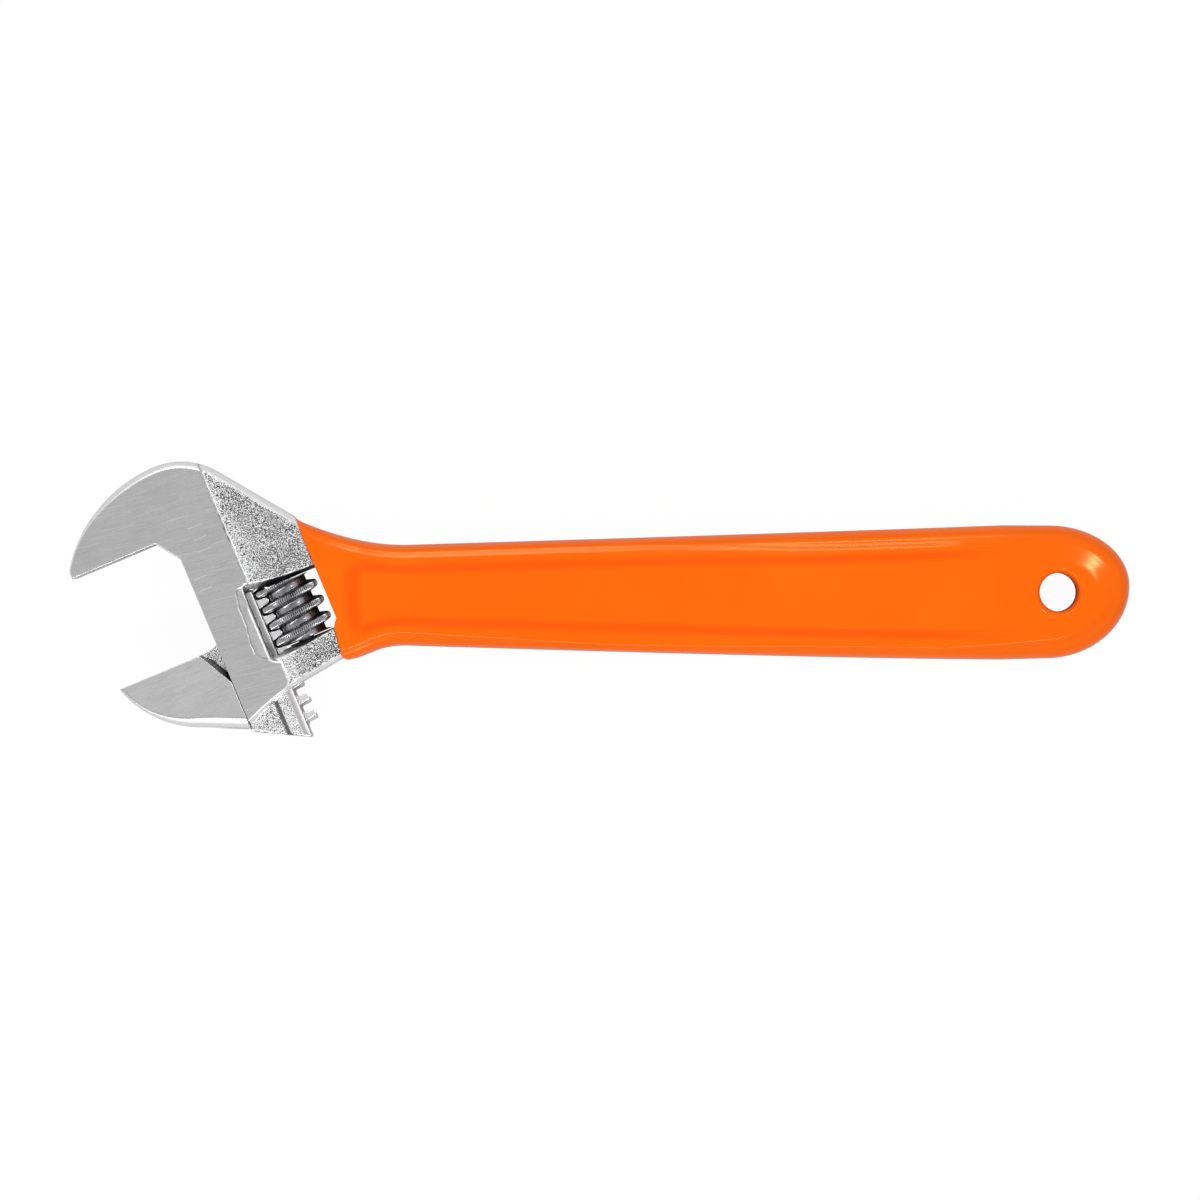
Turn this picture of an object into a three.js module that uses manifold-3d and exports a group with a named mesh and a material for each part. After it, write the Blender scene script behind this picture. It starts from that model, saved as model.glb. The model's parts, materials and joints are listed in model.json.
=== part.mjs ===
// An adjustable wrench with a dipped vinyl grip, lying flat: millimetres, +Z up.
// Two plans are used. The handle plan has X along the handle towards its hanging hole and Y across
// it. The head plan is the handle plan turned by HEAD_ANGLE about the middle of the worm: its X runs
// along the jaw faces towards the handle, and its Y is the way that the movable jaw closes.
// The handle plan's origin is the middle of the hanging hole, the head plan's is the middle of the worm.
// Both have z = 0 on the middle plane of the forging.
import * as THREE from "three";
import { mergeVertices } from "three/addons/utils/BufferGeometryUtils.js";
import Module from "manifold-3d";

const wasm = await Module();
wasm.setup();

// ---------------------------------------------------------------- driving dimensions
const RUNNING_GAP = 0.3; // between pieces that touch or slide
const THREAD_GAP = 0.2; // between a worm ridge and a rack tooth, along the worm

// where the head sits on the handle
const HEAD_ANGLE = THREE.MathUtils.degToRad(22.5);
const WORM_TO_HOLE = 184.8; // along the handle, from the middle of the worm to the hanging hole
const WORM_OFFSET = 3.45; // how far the worm's middle lies below the handle's centre line

// jaws
const JAW_OPENING = 29;
const FIXED_FACE_HEIGHT = 27.5; // the fixed gripping face above the worm's middle
const JAW_DEPTH = 26; // from the throat to the jaw tips
const FACE_RELIEF = 4.2; // the gripping faces stop this far before the throat
const RELIEF_DROP = 5.8; // how far the relief runs down the throat
const THROAT_TO_WORM = 20.3;
const HEAD_THICKNESS = 14;
const RIM_WIDTH = 2; // the rounded edge of the forging, seen from above
const RIM_DEPTH = 3; // and how deep it reaches into the thickness

// outline of the fixed jaw and the neck
const BACK_RADIUS = 34.3;
const BACK_CENTRE_X = -17.7;
const CREST_HEIGHT = 44.9;
const SHOULDER_RADIUS = 17;
const SHOULDER_ANGLE = THREE.MathUtils.degToRad(53);
const NECK_OVER_X = 7; // the neck's upper edge turns into the tang here
const NECK_UNDER_X = 5; // and its lower edge here
const HEAD_FOOT = 16.2; // lower end of the head below the worm's middle
const FOOT_SLOPE = 0.13;
const HEEL_X = -8.5; // where the lower end turns down towards the throat
const HEEL_SLOPE = 0.37;
const GROUND_EDGE_X = -7.8; // the ground strip ends here and the forged skin begins
const GROUND_STEP = 0.35;
const NECK_THICKNESS = 12; // forged skin where it goes under the grip
const TANG_THICKNESS = 9.2;
const TANG_RIM = 1.7; // rounding of the tang's edges
const NECK_RUNOUT = 30; // past the worm axis, the neck has thinned to the tang

// window for the worm
const WINDOW_LEFT = -8.6;
const WINDOW_RIGHT = 8.9;
const WINDOW_FLARE_START = 3.5; // the window's ends widen from here to the faces
const WINDOW_FLARE = { top: 2.1, bottom: 1.7, side: 0.8, right: 0.5 };
const LIP_WIDTH = 2.2; // left of the window the ground side is let down to the level of the forged skin
const LIP_OVER = 0.8; // from this far above the window
const LIP_UNDER = 2.4; // to this far below it

// worm, its screw and its spring
const WORM_PITCH = 4.2;
const WORM_RADIUS = 7.8;
const WORM_CORE_RADIUS = 5.5;
const WORM_LENGTH = 14.6;
const RIDGE_CREST = 1.95; // width of a ridge at its top
const RIDGE_ROOT = 2.6; // and where it leaves the core
const RIDGE_ROUNDING = 0.6;
const HUB_CHAMFER = 0.4;
const RIDGE_PHASE = -0.98; // height of a ridge's middle on the side that faces up
const SCREW_RADIUS = 2;
const SCREW_DEPTH = 5.4; // how far its thread reaches past the window
const SCREW_HEAD_RADIUS = 3.2;
const SCREW_HEAD_HEIGHT = 2.2;
const SCREW_HEAD_SINK = 0.4; // below the lower end of the head
const SLOT_WIDTH = 1;
const SLOT_DEPTH = 1.2;
const SPRING_WIRE = 0.7;
const SPRING_TURNS = 5;
const SPRING_LENGTH = 5.2;

// movable jaw
const JAW_RIM_WIDTH = 2.2;
const JAW_BACK_RADIUS = 25.3;
const JAW_BACK_CENTRE = { x: -21.9, below: -7.4 }; // from the worm axis, and below the gripping face
const UNDERSIDE_SLOPE = THREE.MathUtils.degToRad(-28);
const UNDERSIDE_START = { x: -31.4, below: 15.95 };
const SHOULDER_BACK = 4.7; // the full thickness stops this far before the throat at the face
const SHOULDER_DROP = 8.8; // and reaches the throat this far below the face
const WEB_THICKNESS = 5.6;
const SHANK_RADIUS = 4.8;
const SHANK_AXIS_X = -9.25;
const SHANK_RISE = 10.05; // the shank's top above the gripping face
const SHANK_FLAT_X = -7.6; // the shank is cut flat here, and the rack stands on the flat
const RACK_WIDTH = 7.2;
const RACK_TIP_X = -4.35;
const RACK_FOOT = 25.55; // the rack's lower end below the gripping face
const TOP_CHAMFER = 0.8;

// handle and grip
const VINYL = 1.6;
const VINYL_AT_NECK = 0.35;
const GRIP_THICKNESS = 13;
const GRIP_EDGE_WIDTH = 3.6; // rounding of the grip's edge, seen from above
const GRIP_LAND = 0.6; // width of the flat left at the middle of that edge
const WAIST_WIDTH = 24.4;
const WORM_TO_WAIST = 27; // along the handle
const BELLY_WIDTH = 32.5;
const BELLY_TO_HOLE = 13.8;
const FLANK_BULGE = 0.72; // between waist and belly the edges bow out most here
const FULLNESS_OVER = 0.66; // and by this much of the growth in width, above
const FULLNESS_UNDER = 0.92; // and below
const WAIST_RUN_OVER = 11.5; // how gently the neck's fillets run into the waist
const WAIST_RUN_UNDER = 7;
const NECK_FILLET_OVER = 7;
const NECK_FILLET_UNDER = 5;
const TANG_OVER_ANGLE = -35; // degrees, the way that the tang leaves the neck
const TANG_UNDER_ANGLE = 30;
const GRIP_OVER_ANGLE = -25; // and the way that the grip does
const GRIP_UNDER_ANGLE = 12;
const GRIP_OVER_NECK = 20.4; // from the worm's middle up to the grip's upper corner
const GRIP_UNDER_NECK = 16.3; // and down to its lower corner
const GRIP_UNDER_X = 6.8;
const HOLE_TO_END = 17.4;
const END_ROUNDING = 19.5; // length of the rounded end along the handle
const END_RISE = 0.5; // its middle lies this far above the centre line
const HOLE_RADIUS = 4.65;
const HOLE_LIP = 1.2;
const VALLEY_INSET = 7.5; // the shallow valley of each side starts this far from the grip's edge
const VALLEY_DEPTH = 0.7;
const VALLEY_SLOPE = 3; // width of its sloping side
const VALLEY_LEAD = 6; // it starts this far before the waist and ends this far before the belly
const WEB_INSET = 5; // the tang's recess starts this far from the tang's edge
const WEB_DEPTH = 1.7;
const WEB_LEAD = 2.5; // it starts this far before the waist
const WEB_TO_HOLE = 20.8; // and ends this far before the hole
const GRIP_EDGE_DROP = 6.2; // below here the grip's leading edge steps back over the lower wall
const GRIP_EDGE_STEP = 2.6; // by this much in all
const GRIP_EDGE_CORNER = 1.4; // over this height by the first part
const GRIP_EDGE_SLANT = 8.5; // and over this height by the whole

// ---------------------------------------------------------------- derived places
const THROAT_X = -THROAT_TO_WORM;
const JAW_TIP_X = THROAT_X - JAW_DEPTH;
const FACE_END_X = THROAT_X - FACE_RELIEF;
const MOVABLE_FACE = FIXED_FACE_HEIGHT - JAW_OPENING;
const HALF_HEAD = HEAD_THICKNESS / 2;
const HALF_WINDOW = WORM_LENGTH / 2 + RUNNING_GAP;
const SHOULDER_X = THROAT_X - SHOULDER_BACK;
const SHANK_TOP = MOVABLE_FACE + SHANK_RISE;
const SHANK_LEFT = SHANK_AXIS_X - SHANK_RADIUS;
const WEB_FILLET = SHANK_LEFT - SHOULDER_X;
const FOOT_AT_AXIS = -HEAD_FOOT;
const HEEL_Y = FOOT_AT_AXIS + FOOT_SLOPE * HEEL_X;
const SPRING_RADIUS = SCREW_RADIUS + RUNNING_GAP + SPRING_WIRE / 2; // to the middle of its wire
const SPRING_SEAT_RADIUS = SPRING_RADIUS + SPRING_WIRE / 2 + RUNNING_GAP;
const WORM_X = -WORM_TO_HOLE;
const WAIST_X = WORM_X + WORM_TO_WAIST;
const BELLY_X = -BELLY_TO_HOLE;
const END_CENTRE_X = HOLE_TO_END - END_ROUNDING;
const BEYOND = 12; // how far an outline runs on past a cut, so that its rounded edge ends crisply
const CLEAR = 1; // how far a cut runs past the surface that it opens
const BIG = 400;

// ---------------------------------------------------------------- geometry helpers
const solidOf = (geometry) => {
  const bare = geometry.index ? geometry.toNonIndexed() : geometry.clone();
  for (const name of Object.keys(bare.attributes)) {
    if (name !== "position") bare.deleteAttribute(name);
  }
  const merged = mergeVertices(bare, 1e-4);
  const vertProperties = new Float32Array(merged.attributes.position.array);
  const triVerts = new Uint32Array(merged.index.array);
  return new wasm.Manifold(new wasm.Mesh({ numProp: 3, vertProperties, triVerts }));
};

const geometryOf = (solid) => {
  const mesh = solid.getMesh();
  const geometry = new THREE.BufferGeometry();
  geometry.setAttribute("position", new THREE.BufferAttribute(new Float32Array(mesh.vertProperties), 3));
  geometry.setIndex(new THREE.BufferAttribute(new Uint32Array(mesh.triVerts), 1));
  const faceted = geometry.toNonIndexed();
  faceted.computeVertexNormals();
  return faceted;
};

const join = (...solids) => solids.reduce((a, b) => a.add(b));
const cut = (solid, ...tools) => tools.reduce((a, b) => a.subtract(b), solid);

// the head plan seen from the handle plan
const headToHandle = new THREE.Matrix4()
  .makeTranslation(WORM_X, -WORM_OFFSET, 0)
  .multiply(new THREE.Matrix4().makeRotationZ(HEAD_ANGLE));
const headPoint = (x, y) => {
  const p = new THREE.Vector3(x, y, 0).applyMatrix4(headToHandle);
  return new THREE.Vector2(p.x, p.y);
};
const inHandlePlan = (geometry) => geometry.applyMatrix4(headToHandle);

// a flat outline as a plate with square edges, its thickness centred on the middle plane
function plate(shape, thickness, curveSegments = 16) {
  const geometry = new THREE.ExtrudeGeometry(shape, { depth: thickness, bevelEnabled: false, curveSegments });
  return geometry.translate(0, 0, -thickness / 2);
}

// the same with rounded edges that take nothing off the outline; grow moves every face outwards
function roundedPlate(shape, thickness, rimWidth, rimDepth, grow = 0, steps = 5) {
  const depth = thickness - 2 * rimDepth;
  const geometry = new THREE.ExtrudeGeometry(shape, {
    depth: depth + 2 * grow,
    bevelEnabled: true,
    bevelThickness: rimDepth,
    bevelSize: rimWidth,
    bevelOffset: grow - rimWidth,
    bevelSegments: steps,
    curveSegments: 9,
  });
  return geometry.translate(0, 0, -depth / 2 - grow);
}

const polygon = (...points) => new THREE.Shape(points.map(([x, y]) => new THREE.Vector2(x, y)));

function box(x0, x1, y0, y1, z0, z1) {
  return new THREE.BoxGeometry(x1 - x0, y1 - y0, z1 - z0).translate((x0 + x1) / 2, (y0 + y1) / 2, (z0 + z1) / 2);
}

// a round bar along Y between two heights
function roundBar(radius, y0, y1, x = 0, segments = 36) {
  return new THREE.CylinderGeometry(radius, radius, y1 - y0, segments).translate(x, (y0 + y1) / 2, 0);
}

// A thread: a closed section of [radius, height] points carried round the Y axis, rising by pitch
// each turn. At turn 0 the section's origin is at startHeight on the side that faces +Z.
function thread(section, pitch, fromTurn, toTurn, startHeight, stepsPerTurn) {
  const steps = Math.ceil((toTurn - fromTurn) * stepsPerTurn);
  const n = section.length;
  const positions = [];
  for (let i = 0; i <= steps; i += 1) {
    const turn = fromTurn + ((toTurn - fromTurn) * i) / steps;
    const angle = turn * 2 * Math.PI;
    for (const [radius, height] of section) {
      positions.push(radius * Math.sin(angle), startHeight + pitch * turn + height, radius * Math.cos(angle));
    }
  }
  const index = [];
  for (let i = 0; i < steps; i += 1) {
    for (let j = 0; j < n; j += 1) {
      const a = i * n + j;
      const b = i * n + ((j + 1) % n);
      index.push(a, b, a + n, b, b + n, a + n);
    }
  }
  for (let j = 1; j < n - 1; j += 1) {
    index.push(0, j + 1, j);
    index.push(steps * n, steps * n + j, steps * n + j + 1);
  }
  const geometry = new THREE.BufferGeometry();
  geometry.setAttribute("position", new THREE.Float32BufferAttribute(positions, 3));
  geometry.setIndex(index);
  return geometry;
}

// section of the worm's ridge, made larger by gap for the grooves that it runs in
function ridgeSection(gap, radialGap) {
  const top = WORM_RADIUS + radialGap;
  const crest = RIDGE_CREST / 2 + gap;
  const root = RIDGE_ROOT / 2 + gap;
  const corner = RIDGE_ROUNDING * (1 - Math.SQRT1_2);
  const side = [
    [WORM_CORE_RADIUS - RIDGE_ROUNDING, root],
    [top - RIDGE_ROUNDING, crest],
    [top - corner, crest - corner],
    [top, crest - RIDGE_ROUNDING],
  ];
  const otherSide = side.map(([r, h]) => [r, -h]).reverse();
  return [...side, ...otherSide];
}

// ---------------------------------------------------------------- outlines
// The handle's edges, drawn from under the neck round the hanging end and back over the neck.
// inset moves the long edges inwards; each end of the neck is a point with the way that it leaves it.
function drawHandle(shape, inset, underNeck, overNeck) {
  const waist = WAIST_WIDTH / 2 - inset;
  const belly = BELLY_WIDTH / 2 - inset;
  const bulgeX = WAIST_X + FLANK_BULGE * (BELLY_X - WAIST_X);
  const bulgeUnder = waist + FULLNESS_UNDER * (belly - waist);
  const bulgeOver = waist + FULLNESS_OVER * (belly - waist);
  const under = underNeck.point.clone().addScaledVector(underNeck.towards, NECK_FILLET_UNDER);
  const over = overNeck.point.clone().addScaledVector(overNeck.towards, NECK_FILLET_OVER);
  shape.bezierCurveTo(under.x, under.y, WAIST_X - WAIST_RUN_UNDER, -waist, WAIST_X, -waist);
  shape.quadraticCurveTo(bulgeX, -bulgeUnder, BELLY_X, -belly);
  const length = END_ROUNDING - inset;
  shape.absellipse(END_CENTRE_X, END_RISE, length, belly, -Math.PI / 2, Math.PI / 2, false);
  shape.lineTo(BELLY_X, belly);
  shape.quadraticCurveTo(bulgeX, bulgeOver, WAIST_X, waist);
  shape.bezierCurveTo(WAIST_X - WAIST_RUN_OVER, waist, over.x, over.y, overNeck.point.x, overNeck.point.y);
}

const direction = (degrees) => {
  const angle = THREE.MathUtils.degToRad(degrees);
  return new THREE.Vector2(Math.cos(angle), Math.sin(angle));
};

// The whole forging: lower end of the head, handle, neck, shoulder and the back of the fixed jaw.
// It runs on across the mouth, which is cut out of it afterwards.
function forgingOutline() {
  const shape = new THREE.Shape();
  const beyondThroat = THROAT_X - BEYOND;
  const start = headPoint(beyondThroat, HEEL_Y + HEEL_SLOPE * (beyondThroat - HEEL_X));
  const heel = headPoint(HEEL_X, HEEL_Y);
  const underNeck = headPoint(NECK_UNDER_X, FOOT_AT_AXIS + FOOT_SLOPE * NECK_UNDER_X);
  shape.moveTo(start.x, start.y);
  shape.lineTo(heel.x, heel.y);
  shape.lineTo(underNeck.x, underNeck.y);

  const shoulderCentreY = CREST_HEIGHT - SHOULDER_RADIUS;
  const shoulderEnd = {
    x: BACK_CENTRE_X + SHOULDER_RADIUS * Math.sin(SHOULDER_ANGLE),
    y: shoulderCentreY + SHOULDER_RADIUS * Math.cos(SHOULDER_ANGLE),
  };
  const overNeck = headPoint(NECK_OVER_X, shoulderEnd.y - (NECK_OVER_X - shoulderEnd.x) * Math.tan(SHOULDER_ANGLE));
  drawHandle(
    shape, VINYL + RUNNING_GAP,
    { point: underNeck, towards: direction(TANG_UNDER_ANGLE) },
    { point: overNeck, towards: direction(TANG_OVER_ANGLE) },
  );

  const shoulderCentre = headPoint(BACK_CENTRE_X, shoulderCentreY);
  const fromAngle = Math.PI / 2 - SHOULDER_ANGLE + HEAD_ANGLE;
  shape.absarc(shoulderCentre.x, shoulderCentre.y, SHOULDER_RADIUS, fromAngle, Math.PI / 2 + HEAD_ANGLE, false);
  const backCentre = headPoint(BACK_CENTRE_X, CREST_HEIGHT - BACK_RADIUS);
  const tipAngle = Math.PI - Math.acos((BACK_CENTRE_X - JAW_TIP_X) / BACK_RADIUS);
  shape.absarc(backCentre.x, backCentre.y, BACK_RADIUS, Math.PI / 2 + HEAD_ANGLE, tipAngle + HEAD_ANGLE, false);
  const underTip = headPoint(JAW_TIP_X, FIXED_FACE_HEIGHT - BEYOND);
  shape.lineTo(underTip.x, underTip.y);
  return shape;
}

// half thickness of the forging along the head plan's X: ground head, forged neck, tang
function thicknessProfile(grow) {
  const half = [
    [-BIG, HALF_HEAD],
    [GROUND_EDGE_X, HALF_HEAD],
    [GROUND_EDGE_X + GROUND_STEP, HALF_HEAD - GROUND_STEP],
    [WINDOW_RIGHT, NECK_THICKNESS / 2],
    [NECK_RUNOUT, TANG_THICKNESS / 2],
  ];
  const top = half.map(([x, z]) => [x, z + grow]);
  const bottom = half.map(([x, z]) => [x, -z - grow]).reverse();
  const geometry = new THREE.ExtrudeGeometry(polygon(...top, ...bottom), { depth: 2 * BIG, bevelEnabled: false });
  // the profile is drawn as (x, z): lay it down so that it runs along Y
  return geometry.translate(0, 0, -BIG).rotateX(Math.PI / 2);
}

// The forging before its mouth, window and channels are cut; grow makes the space that the vinyl
// leaves for it.
function forging(grow) {
  const outline = forgingOutline();
  const thick = solidOf(roundedPlate(outline, HEAD_THICKNESS, RIM_WIDTH, RIM_DEPTH, grow));
  const head = thick.intersect(solidOf(inHandlePlan(thicknessProfile(grow))));
  const tang = solidOf(roundedPlate(outline, TANG_THICKNESS, TANG_RIM, TANG_RIM, grow, 2));
  const hole = new THREE.CylinderGeometry(1, 1, BIG, 32).rotateX(Math.PI / 2);
  const holeRadius = HOLE_RADIUS + HOLE_LIP + RUNNING_GAP - grow;
  hole.scale(holeRadius, holeRadius, 1);
  return cut(join(head, tang), solidOf(hole), ...webRecesses(-grow));
}

// a long recess in each side of the tang; grow makes it larger or smaller
function webRecesses(grow) {
  const inset = VINYL + RUNNING_GAP + WEB_INSET - grow;
  const left = WAIST_WIDTH / 2 - inset;
  const share = (-WEB_TO_HOLE - WAIST_X) / (BELLY_X - WAIST_X);
  const right = THREE.MathUtils.lerp(WAIST_WIDTH / 2, BELLY_WIDTH / 2, share) - inset;
  const x0 = WAIST_X - WEB_LEAD - grow;
  const x1 = -WEB_TO_HOLE + grow;
  const shape = new THREE.Shape();
  shape.moveTo(x0, -left);
  shape.lineTo(x1 - right, -right);
  shape.absarc(x1 - right, 0, right, -Math.PI / 2, Math.PI / 2, false);
  shape.lineTo(x0, left);
  shape.absarc(x0, 0, left, Math.PI / 2, 1.5 * Math.PI, false);
  const floor = TANG_THICKNESS / 2 - WEB_DEPTH - grow;
  return [1, -1].map((side) => {
    const geometry = new THREE.ExtrudeGeometry(shape, { depth: 2 * HALF_HEAD, bevelEnabled: false, curveSegments: 5 });
    if (side < 0) geometry.rotateX(Math.PI);
    return solidOf(geometry.translate(0, 0, side * floor));
  });
}

// ---------------------------------------------------------------- cuts in the head, head plan
// the space between the jaws, with square edges along the fixed gripping face and the throat
function mouth() {
  return plate(
    polygon(
      [-BIG, FIXED_FACE_HEIGHT],
      [FACE_END_X, FIXED_FACE_HEIGHT],
      [THROAT_X, FIXED_FACE_HEIGHT - RELIEF_DROP],
      [THROAT_X, -BIG],
      [-BIG, -BIG],
    ),
    2 * BIG,
  );
}

// the worm's window: a straight hole whose ends and left side widen towards both faces
function wormWindow() {
  const straight = box(WINDOW_LEFT, WINDOW_RIGHT, -HALF_WINDOW, HALF_WINDOW, -BIG, BIG);
  const flares = [1, -1].map((side) => {
    const z0 = side * WINDOW_FLARE_START;
    const z1 = side * (HALF_HEAD + CLEAR);
    const inner = [
      [WINDOW_LEFT, -HALF_WINDOW, z0],
      [WINDOW_RIGHT, -HALF_WINDOW, z0],
      [WINDOW_RIGHT, HALF_WINDOW, z0],
      [WINDOW_LEFT, HALF_WINDOW, z0],
    ];
    const outer = [
      [WINDOW_LEFT - WINDOW_FLARE.side, -HALF_WINDOW - WINDOW_FLARE.bottom, z1],
      [WINDOW_RIGHT, -HALF_WINDOW - WINDOW_FLARE.right, z1],
      [WINDOW_RIGHT, HALF_WINDOW + WINDOW_FLARE.right, z1],
      [WINDOW_LEFT - WINDOW_FLARE.side, HALF_WINDOW + WINDOW_FLARE.top, z1],
    ];
    return solidOf(frustum(inner, outer));
  });
  return join(solidOf(straight), ...flares, ...windowLips());
}

// the let-down lip round the window's left side, on both faces
function windowLips() {
  const left = WINDOW_LEFT - LIP_WIDTH;
  const low = -HALF_WINDOW - LIP_UNDER;
  const high = HALF_WINDOW + LIP_OVER;
  const slope = GROUND_STEP + CLEAR; // its sides lean outwards by as much as they rise
  return [1, -1].map((side) => {
    const floor = HALF_HEAD - GROUND_STEP;
    const corners = (out, z) => [
      [left - out, low - out, side * z],
      [GROUND_EDGE_X, low - out, side * z],
      [GROUND_EDGE_X, high + out, side * z],
      [left - out, high + out, side * z],
    ];
    return solidOf(frustum(corners(0, floor), corners(slope, floor + slope)));
  });
}

// a solid between two four-sided outlines whose corners are listed the same way round
function frustum(inner, outer) {
  const corners = [...inner, ...outer];
  const quads = [[3, 2, 1, 0], [4, 5, 6, 7], [0, 1, 5, 4], [1, 2, 6, 5], [2, 3, 7, 6], [3, 0, 4, 7]];
  const upward = outer[0][2] > inner[0][2];
  const index = quads.flatMap(([a, b, c, d]) => (upward ? [a, b, c, a, c, d] : [a, c, b, a, d, c]));
  const geometry = new THREE.BufferGeometry();
  geometry.setAttribute("position", new THREE.Float32BufferAttribute(corners.flat(), 3));
  geometry.setIndex(index);
  return geometry;
}

// Where the web and the shank slide: a bore, a slot for the web that opens into the throat and ends
// in the web's own fillet, and a slot for the rack that opens into the window.
function jawChannel() {
  const gap = RUNNING_GAP;
  const closedTop = FIXED_FACE_HEIGHT + SHANK_RISE;
  const top = closedTop + gap;
  const bore = roundBar(SHANK_RADIUS + gap, -BIG, top, SHANK_AXIS_X);
  const rackSlot = box(SHANK_AXIS_X, RACK_TIP_X + gap, -BIG, top, -RACK_WIDTH / 2 - gap, RACK_WIDTH / 2 + gap);
  const fillet = WEB_FILLET - gap;
  const filletY = FIXED_FACE_HEIGHT + WEB_FILLET;
  const slot = new THREE.Shape();
  slot.moveTo(SHOULDER_X - gap, -BIG);
  slot.lineTo(SHANK_AXIS_X, -BIG);
  slot.lineTo(SHANK_AXIS_X, top);
  slot.lineTo(SHOULDER_X + fillet, top);
  slot.absarc(SHOULDER_X, filletY, fillet, Math.asin(Math.min(1, (top - filletY) / fillet)), -Math.PI / 2, true);
  slot.lineTo(SHOULDER_X - gap, filletY - fillet);
  return join(solidOf(bore), solidOf(rackSlot), solidOf(plate(slot, WEB_THICKNESS + 2 * gap, 20)));
}

const screwHeadTop = () => FOOT_AT_AXIS + SCREW_HEAD_SINK + SCREW_HEAD_HEIGHT;

function screwHole() {
  const gap = RUNNING_GAP;
  const hole = roundBar(SCREW_RADIUS + gap, -BIG, HALF_WINDOW + SCREW_DEPTH + gap, 0, 24);
  const counterbore = roundBar(SCREW_HEAD_RADIUS + gap, -BIG, screwHeadTop() + gap, 0, 28);
  return join(solidOf(hole), solidOf(counterbore));
}

// ---------------------------------------------------------------- pieces
// The head, fixed jaw and tang are one forging.
function makeBody() {
  const headCuts = [solidOf(mouth()), wormWindow(), jawChannel(), screwHole()];
  const cuts = headCuts.map((solid) => solidOf(inHandlePlan(geometryOf(solid))));
  return cut(forging(0), ...cuts);
}

// Vinyl dipped over the tang: full and round along the handle, a thin skin at the neck.
function makeGrip() {
  const over = headPoint(WINDOW_RIGHT, GRIP_OVER_NECK);
  const under = headPoint(GRIP_UNDER_X, -GRIP_UNDER_NECK);
  const overWay = direction(GRIP_OVER_ANGLE);
  const underWay = direction(GRIP_UNDER_ANGLE);
  const outline = new THREE.Shape();
  outline.moveTo(under.x - BEYOND * underWay.x, under.y - BEYOND * underWay.y);
  outline.lineTo(under.x, under.y);
  drawHandle(outline, 0, { point: under, towards: underWay }, { point: over, towards: overWay });
  outline.lineTo(over.x - BEYOND * overWay.x, over.y - BEYOND * overWay.y);
  const edgeDepth = (GRIP_THICKNESS - GRIP_LAND) / 2;
  const rounded = roundedPlate(outline, GRIP_THICKNESS, GRIP_EDGE_WIDTH, edgeDepth, 0, 5);
  const skin = forging(RUNNING_GAP + VINYL_AT_NECK).intersect(solidOf(plate(outline, BIG, 7)));
  const full = cut(join(solidOf(rounded), skin), ...gripValleys());

  const hole = new THREE.CylinderGeometry(HOLE_RADIUS, HOLE_RADIUS, BIG, 32).rotateX(Math.PI / 2);
  const bare = plate(
    polygon(
      [-BIG, BIG],
      [WINDOW_RIGHT, BIG],
      [WINDOW_RIGHT, -GRIP_EDGE_DROP],
      [WINDOW_RIGHT - GRIP_EDGE_STEP / 2, -GRIP_EDGE_DROP - GRIP_EDGE_CORNER],
      [WINDOW_RIGHT - GRIP_EDGE_STEP, -GRIP_EDGE_DROP - GRIP_EDGE_SLANT],
      [WINDOW_RIGHT - GRIP_EDGE_STEP, -BIG],
      [-BIG, -BIG],
    ),
    BIG,
  );
  return cut(full, forging(RUNNING_GAP), solidOf(hole), solidOf(inHandlePlan(bare)));
}

// the shallow valley along each side of the grip
function gripValleys() {
  const left = WAIST_WIDTH / 2 - VALLEY_INSET;
  const right = BELLY_WIDTH / 2 - VALLEY_INSET;
  const x0 = WAIST_X - VALLEY_LEAD;
  const x1 = BELLY_X - VALLEY_LEAD;
  const shape = new THREE.Shape();
  shape.moveTo(x0, -left);
  shape.lineTo(x1, -right);
  shape.absarc(x1, 0, right, -Math.PI / 2, Math.PI / 2, false);
  shape.lineTo(x0, left);
  shape.absarc(x0, 0, left, Math.PI / 2, 1.5 * Math.PI, false);
  return [1, -1].map((side) => {
    const geometry = new THREE.ExtrudeGeometry(shape, {
      depth: HALF_HEAD,
      bevelEnabled: true,
      bevelThickness: VALLEY_DEPTH,
      bevelSize: VALLEY_SLOPE,
      bevelOffset: -VALLEY_SLOPE,
      bevelSegments: 2,
      curveSegments: 6,
    });
    if (side < 0) geometry.rotateX(Math.PI);
    return solidOf(geometry.translate(0, 0, side * (GRIP_THICKNESS / 2)));
  });
}

// the movable jaw's lower edge, from its tip round its back and straight on under the shank
function jawUnderside() {
  const centreY = MOVABLE_FACE - JAW_BACK_CENTRE.below;
  const reach = JAW_BACK_CENTRE.x - JAW_TIP_X;
  const tipAngle = Math.PI + Math.acos(Math.min(1, reach / JAW_BACK_RADIUS));
  const endAngle = Math.atan2(
    MOVABLE_FACE - UNDERSIDE_START.below - centreY,
    UNDERSIDE_START.x - JAW_BACK_CENTRE.x,
  );
  const shape = new THREE.Shape();
  shape.moveTo(JAW_TIP_X, MOVABLE_FACE + BEYOND);
  shape.lineTo(JAW_TIP_X, centreY + JAW_BACK_RADIUS * Math.sin(tipAngle));
  shape.absarc(JAW_BACK_CENTRE.x, centreY, JAW_BACK_RADIUS, tipAngle, endAngle + 2 * Math.PI, false);
  const reachX = RACK_TIP_X + BEYOND;
  shape.lineTo(
    reachX,
    MOVABLE_FACE - UNDERSIDE_START.below + (reachX - UNDERSIDE_START.x) * Math.tan(UNDERSIDE_SLOPE),
  );
  return shape;
}

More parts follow.
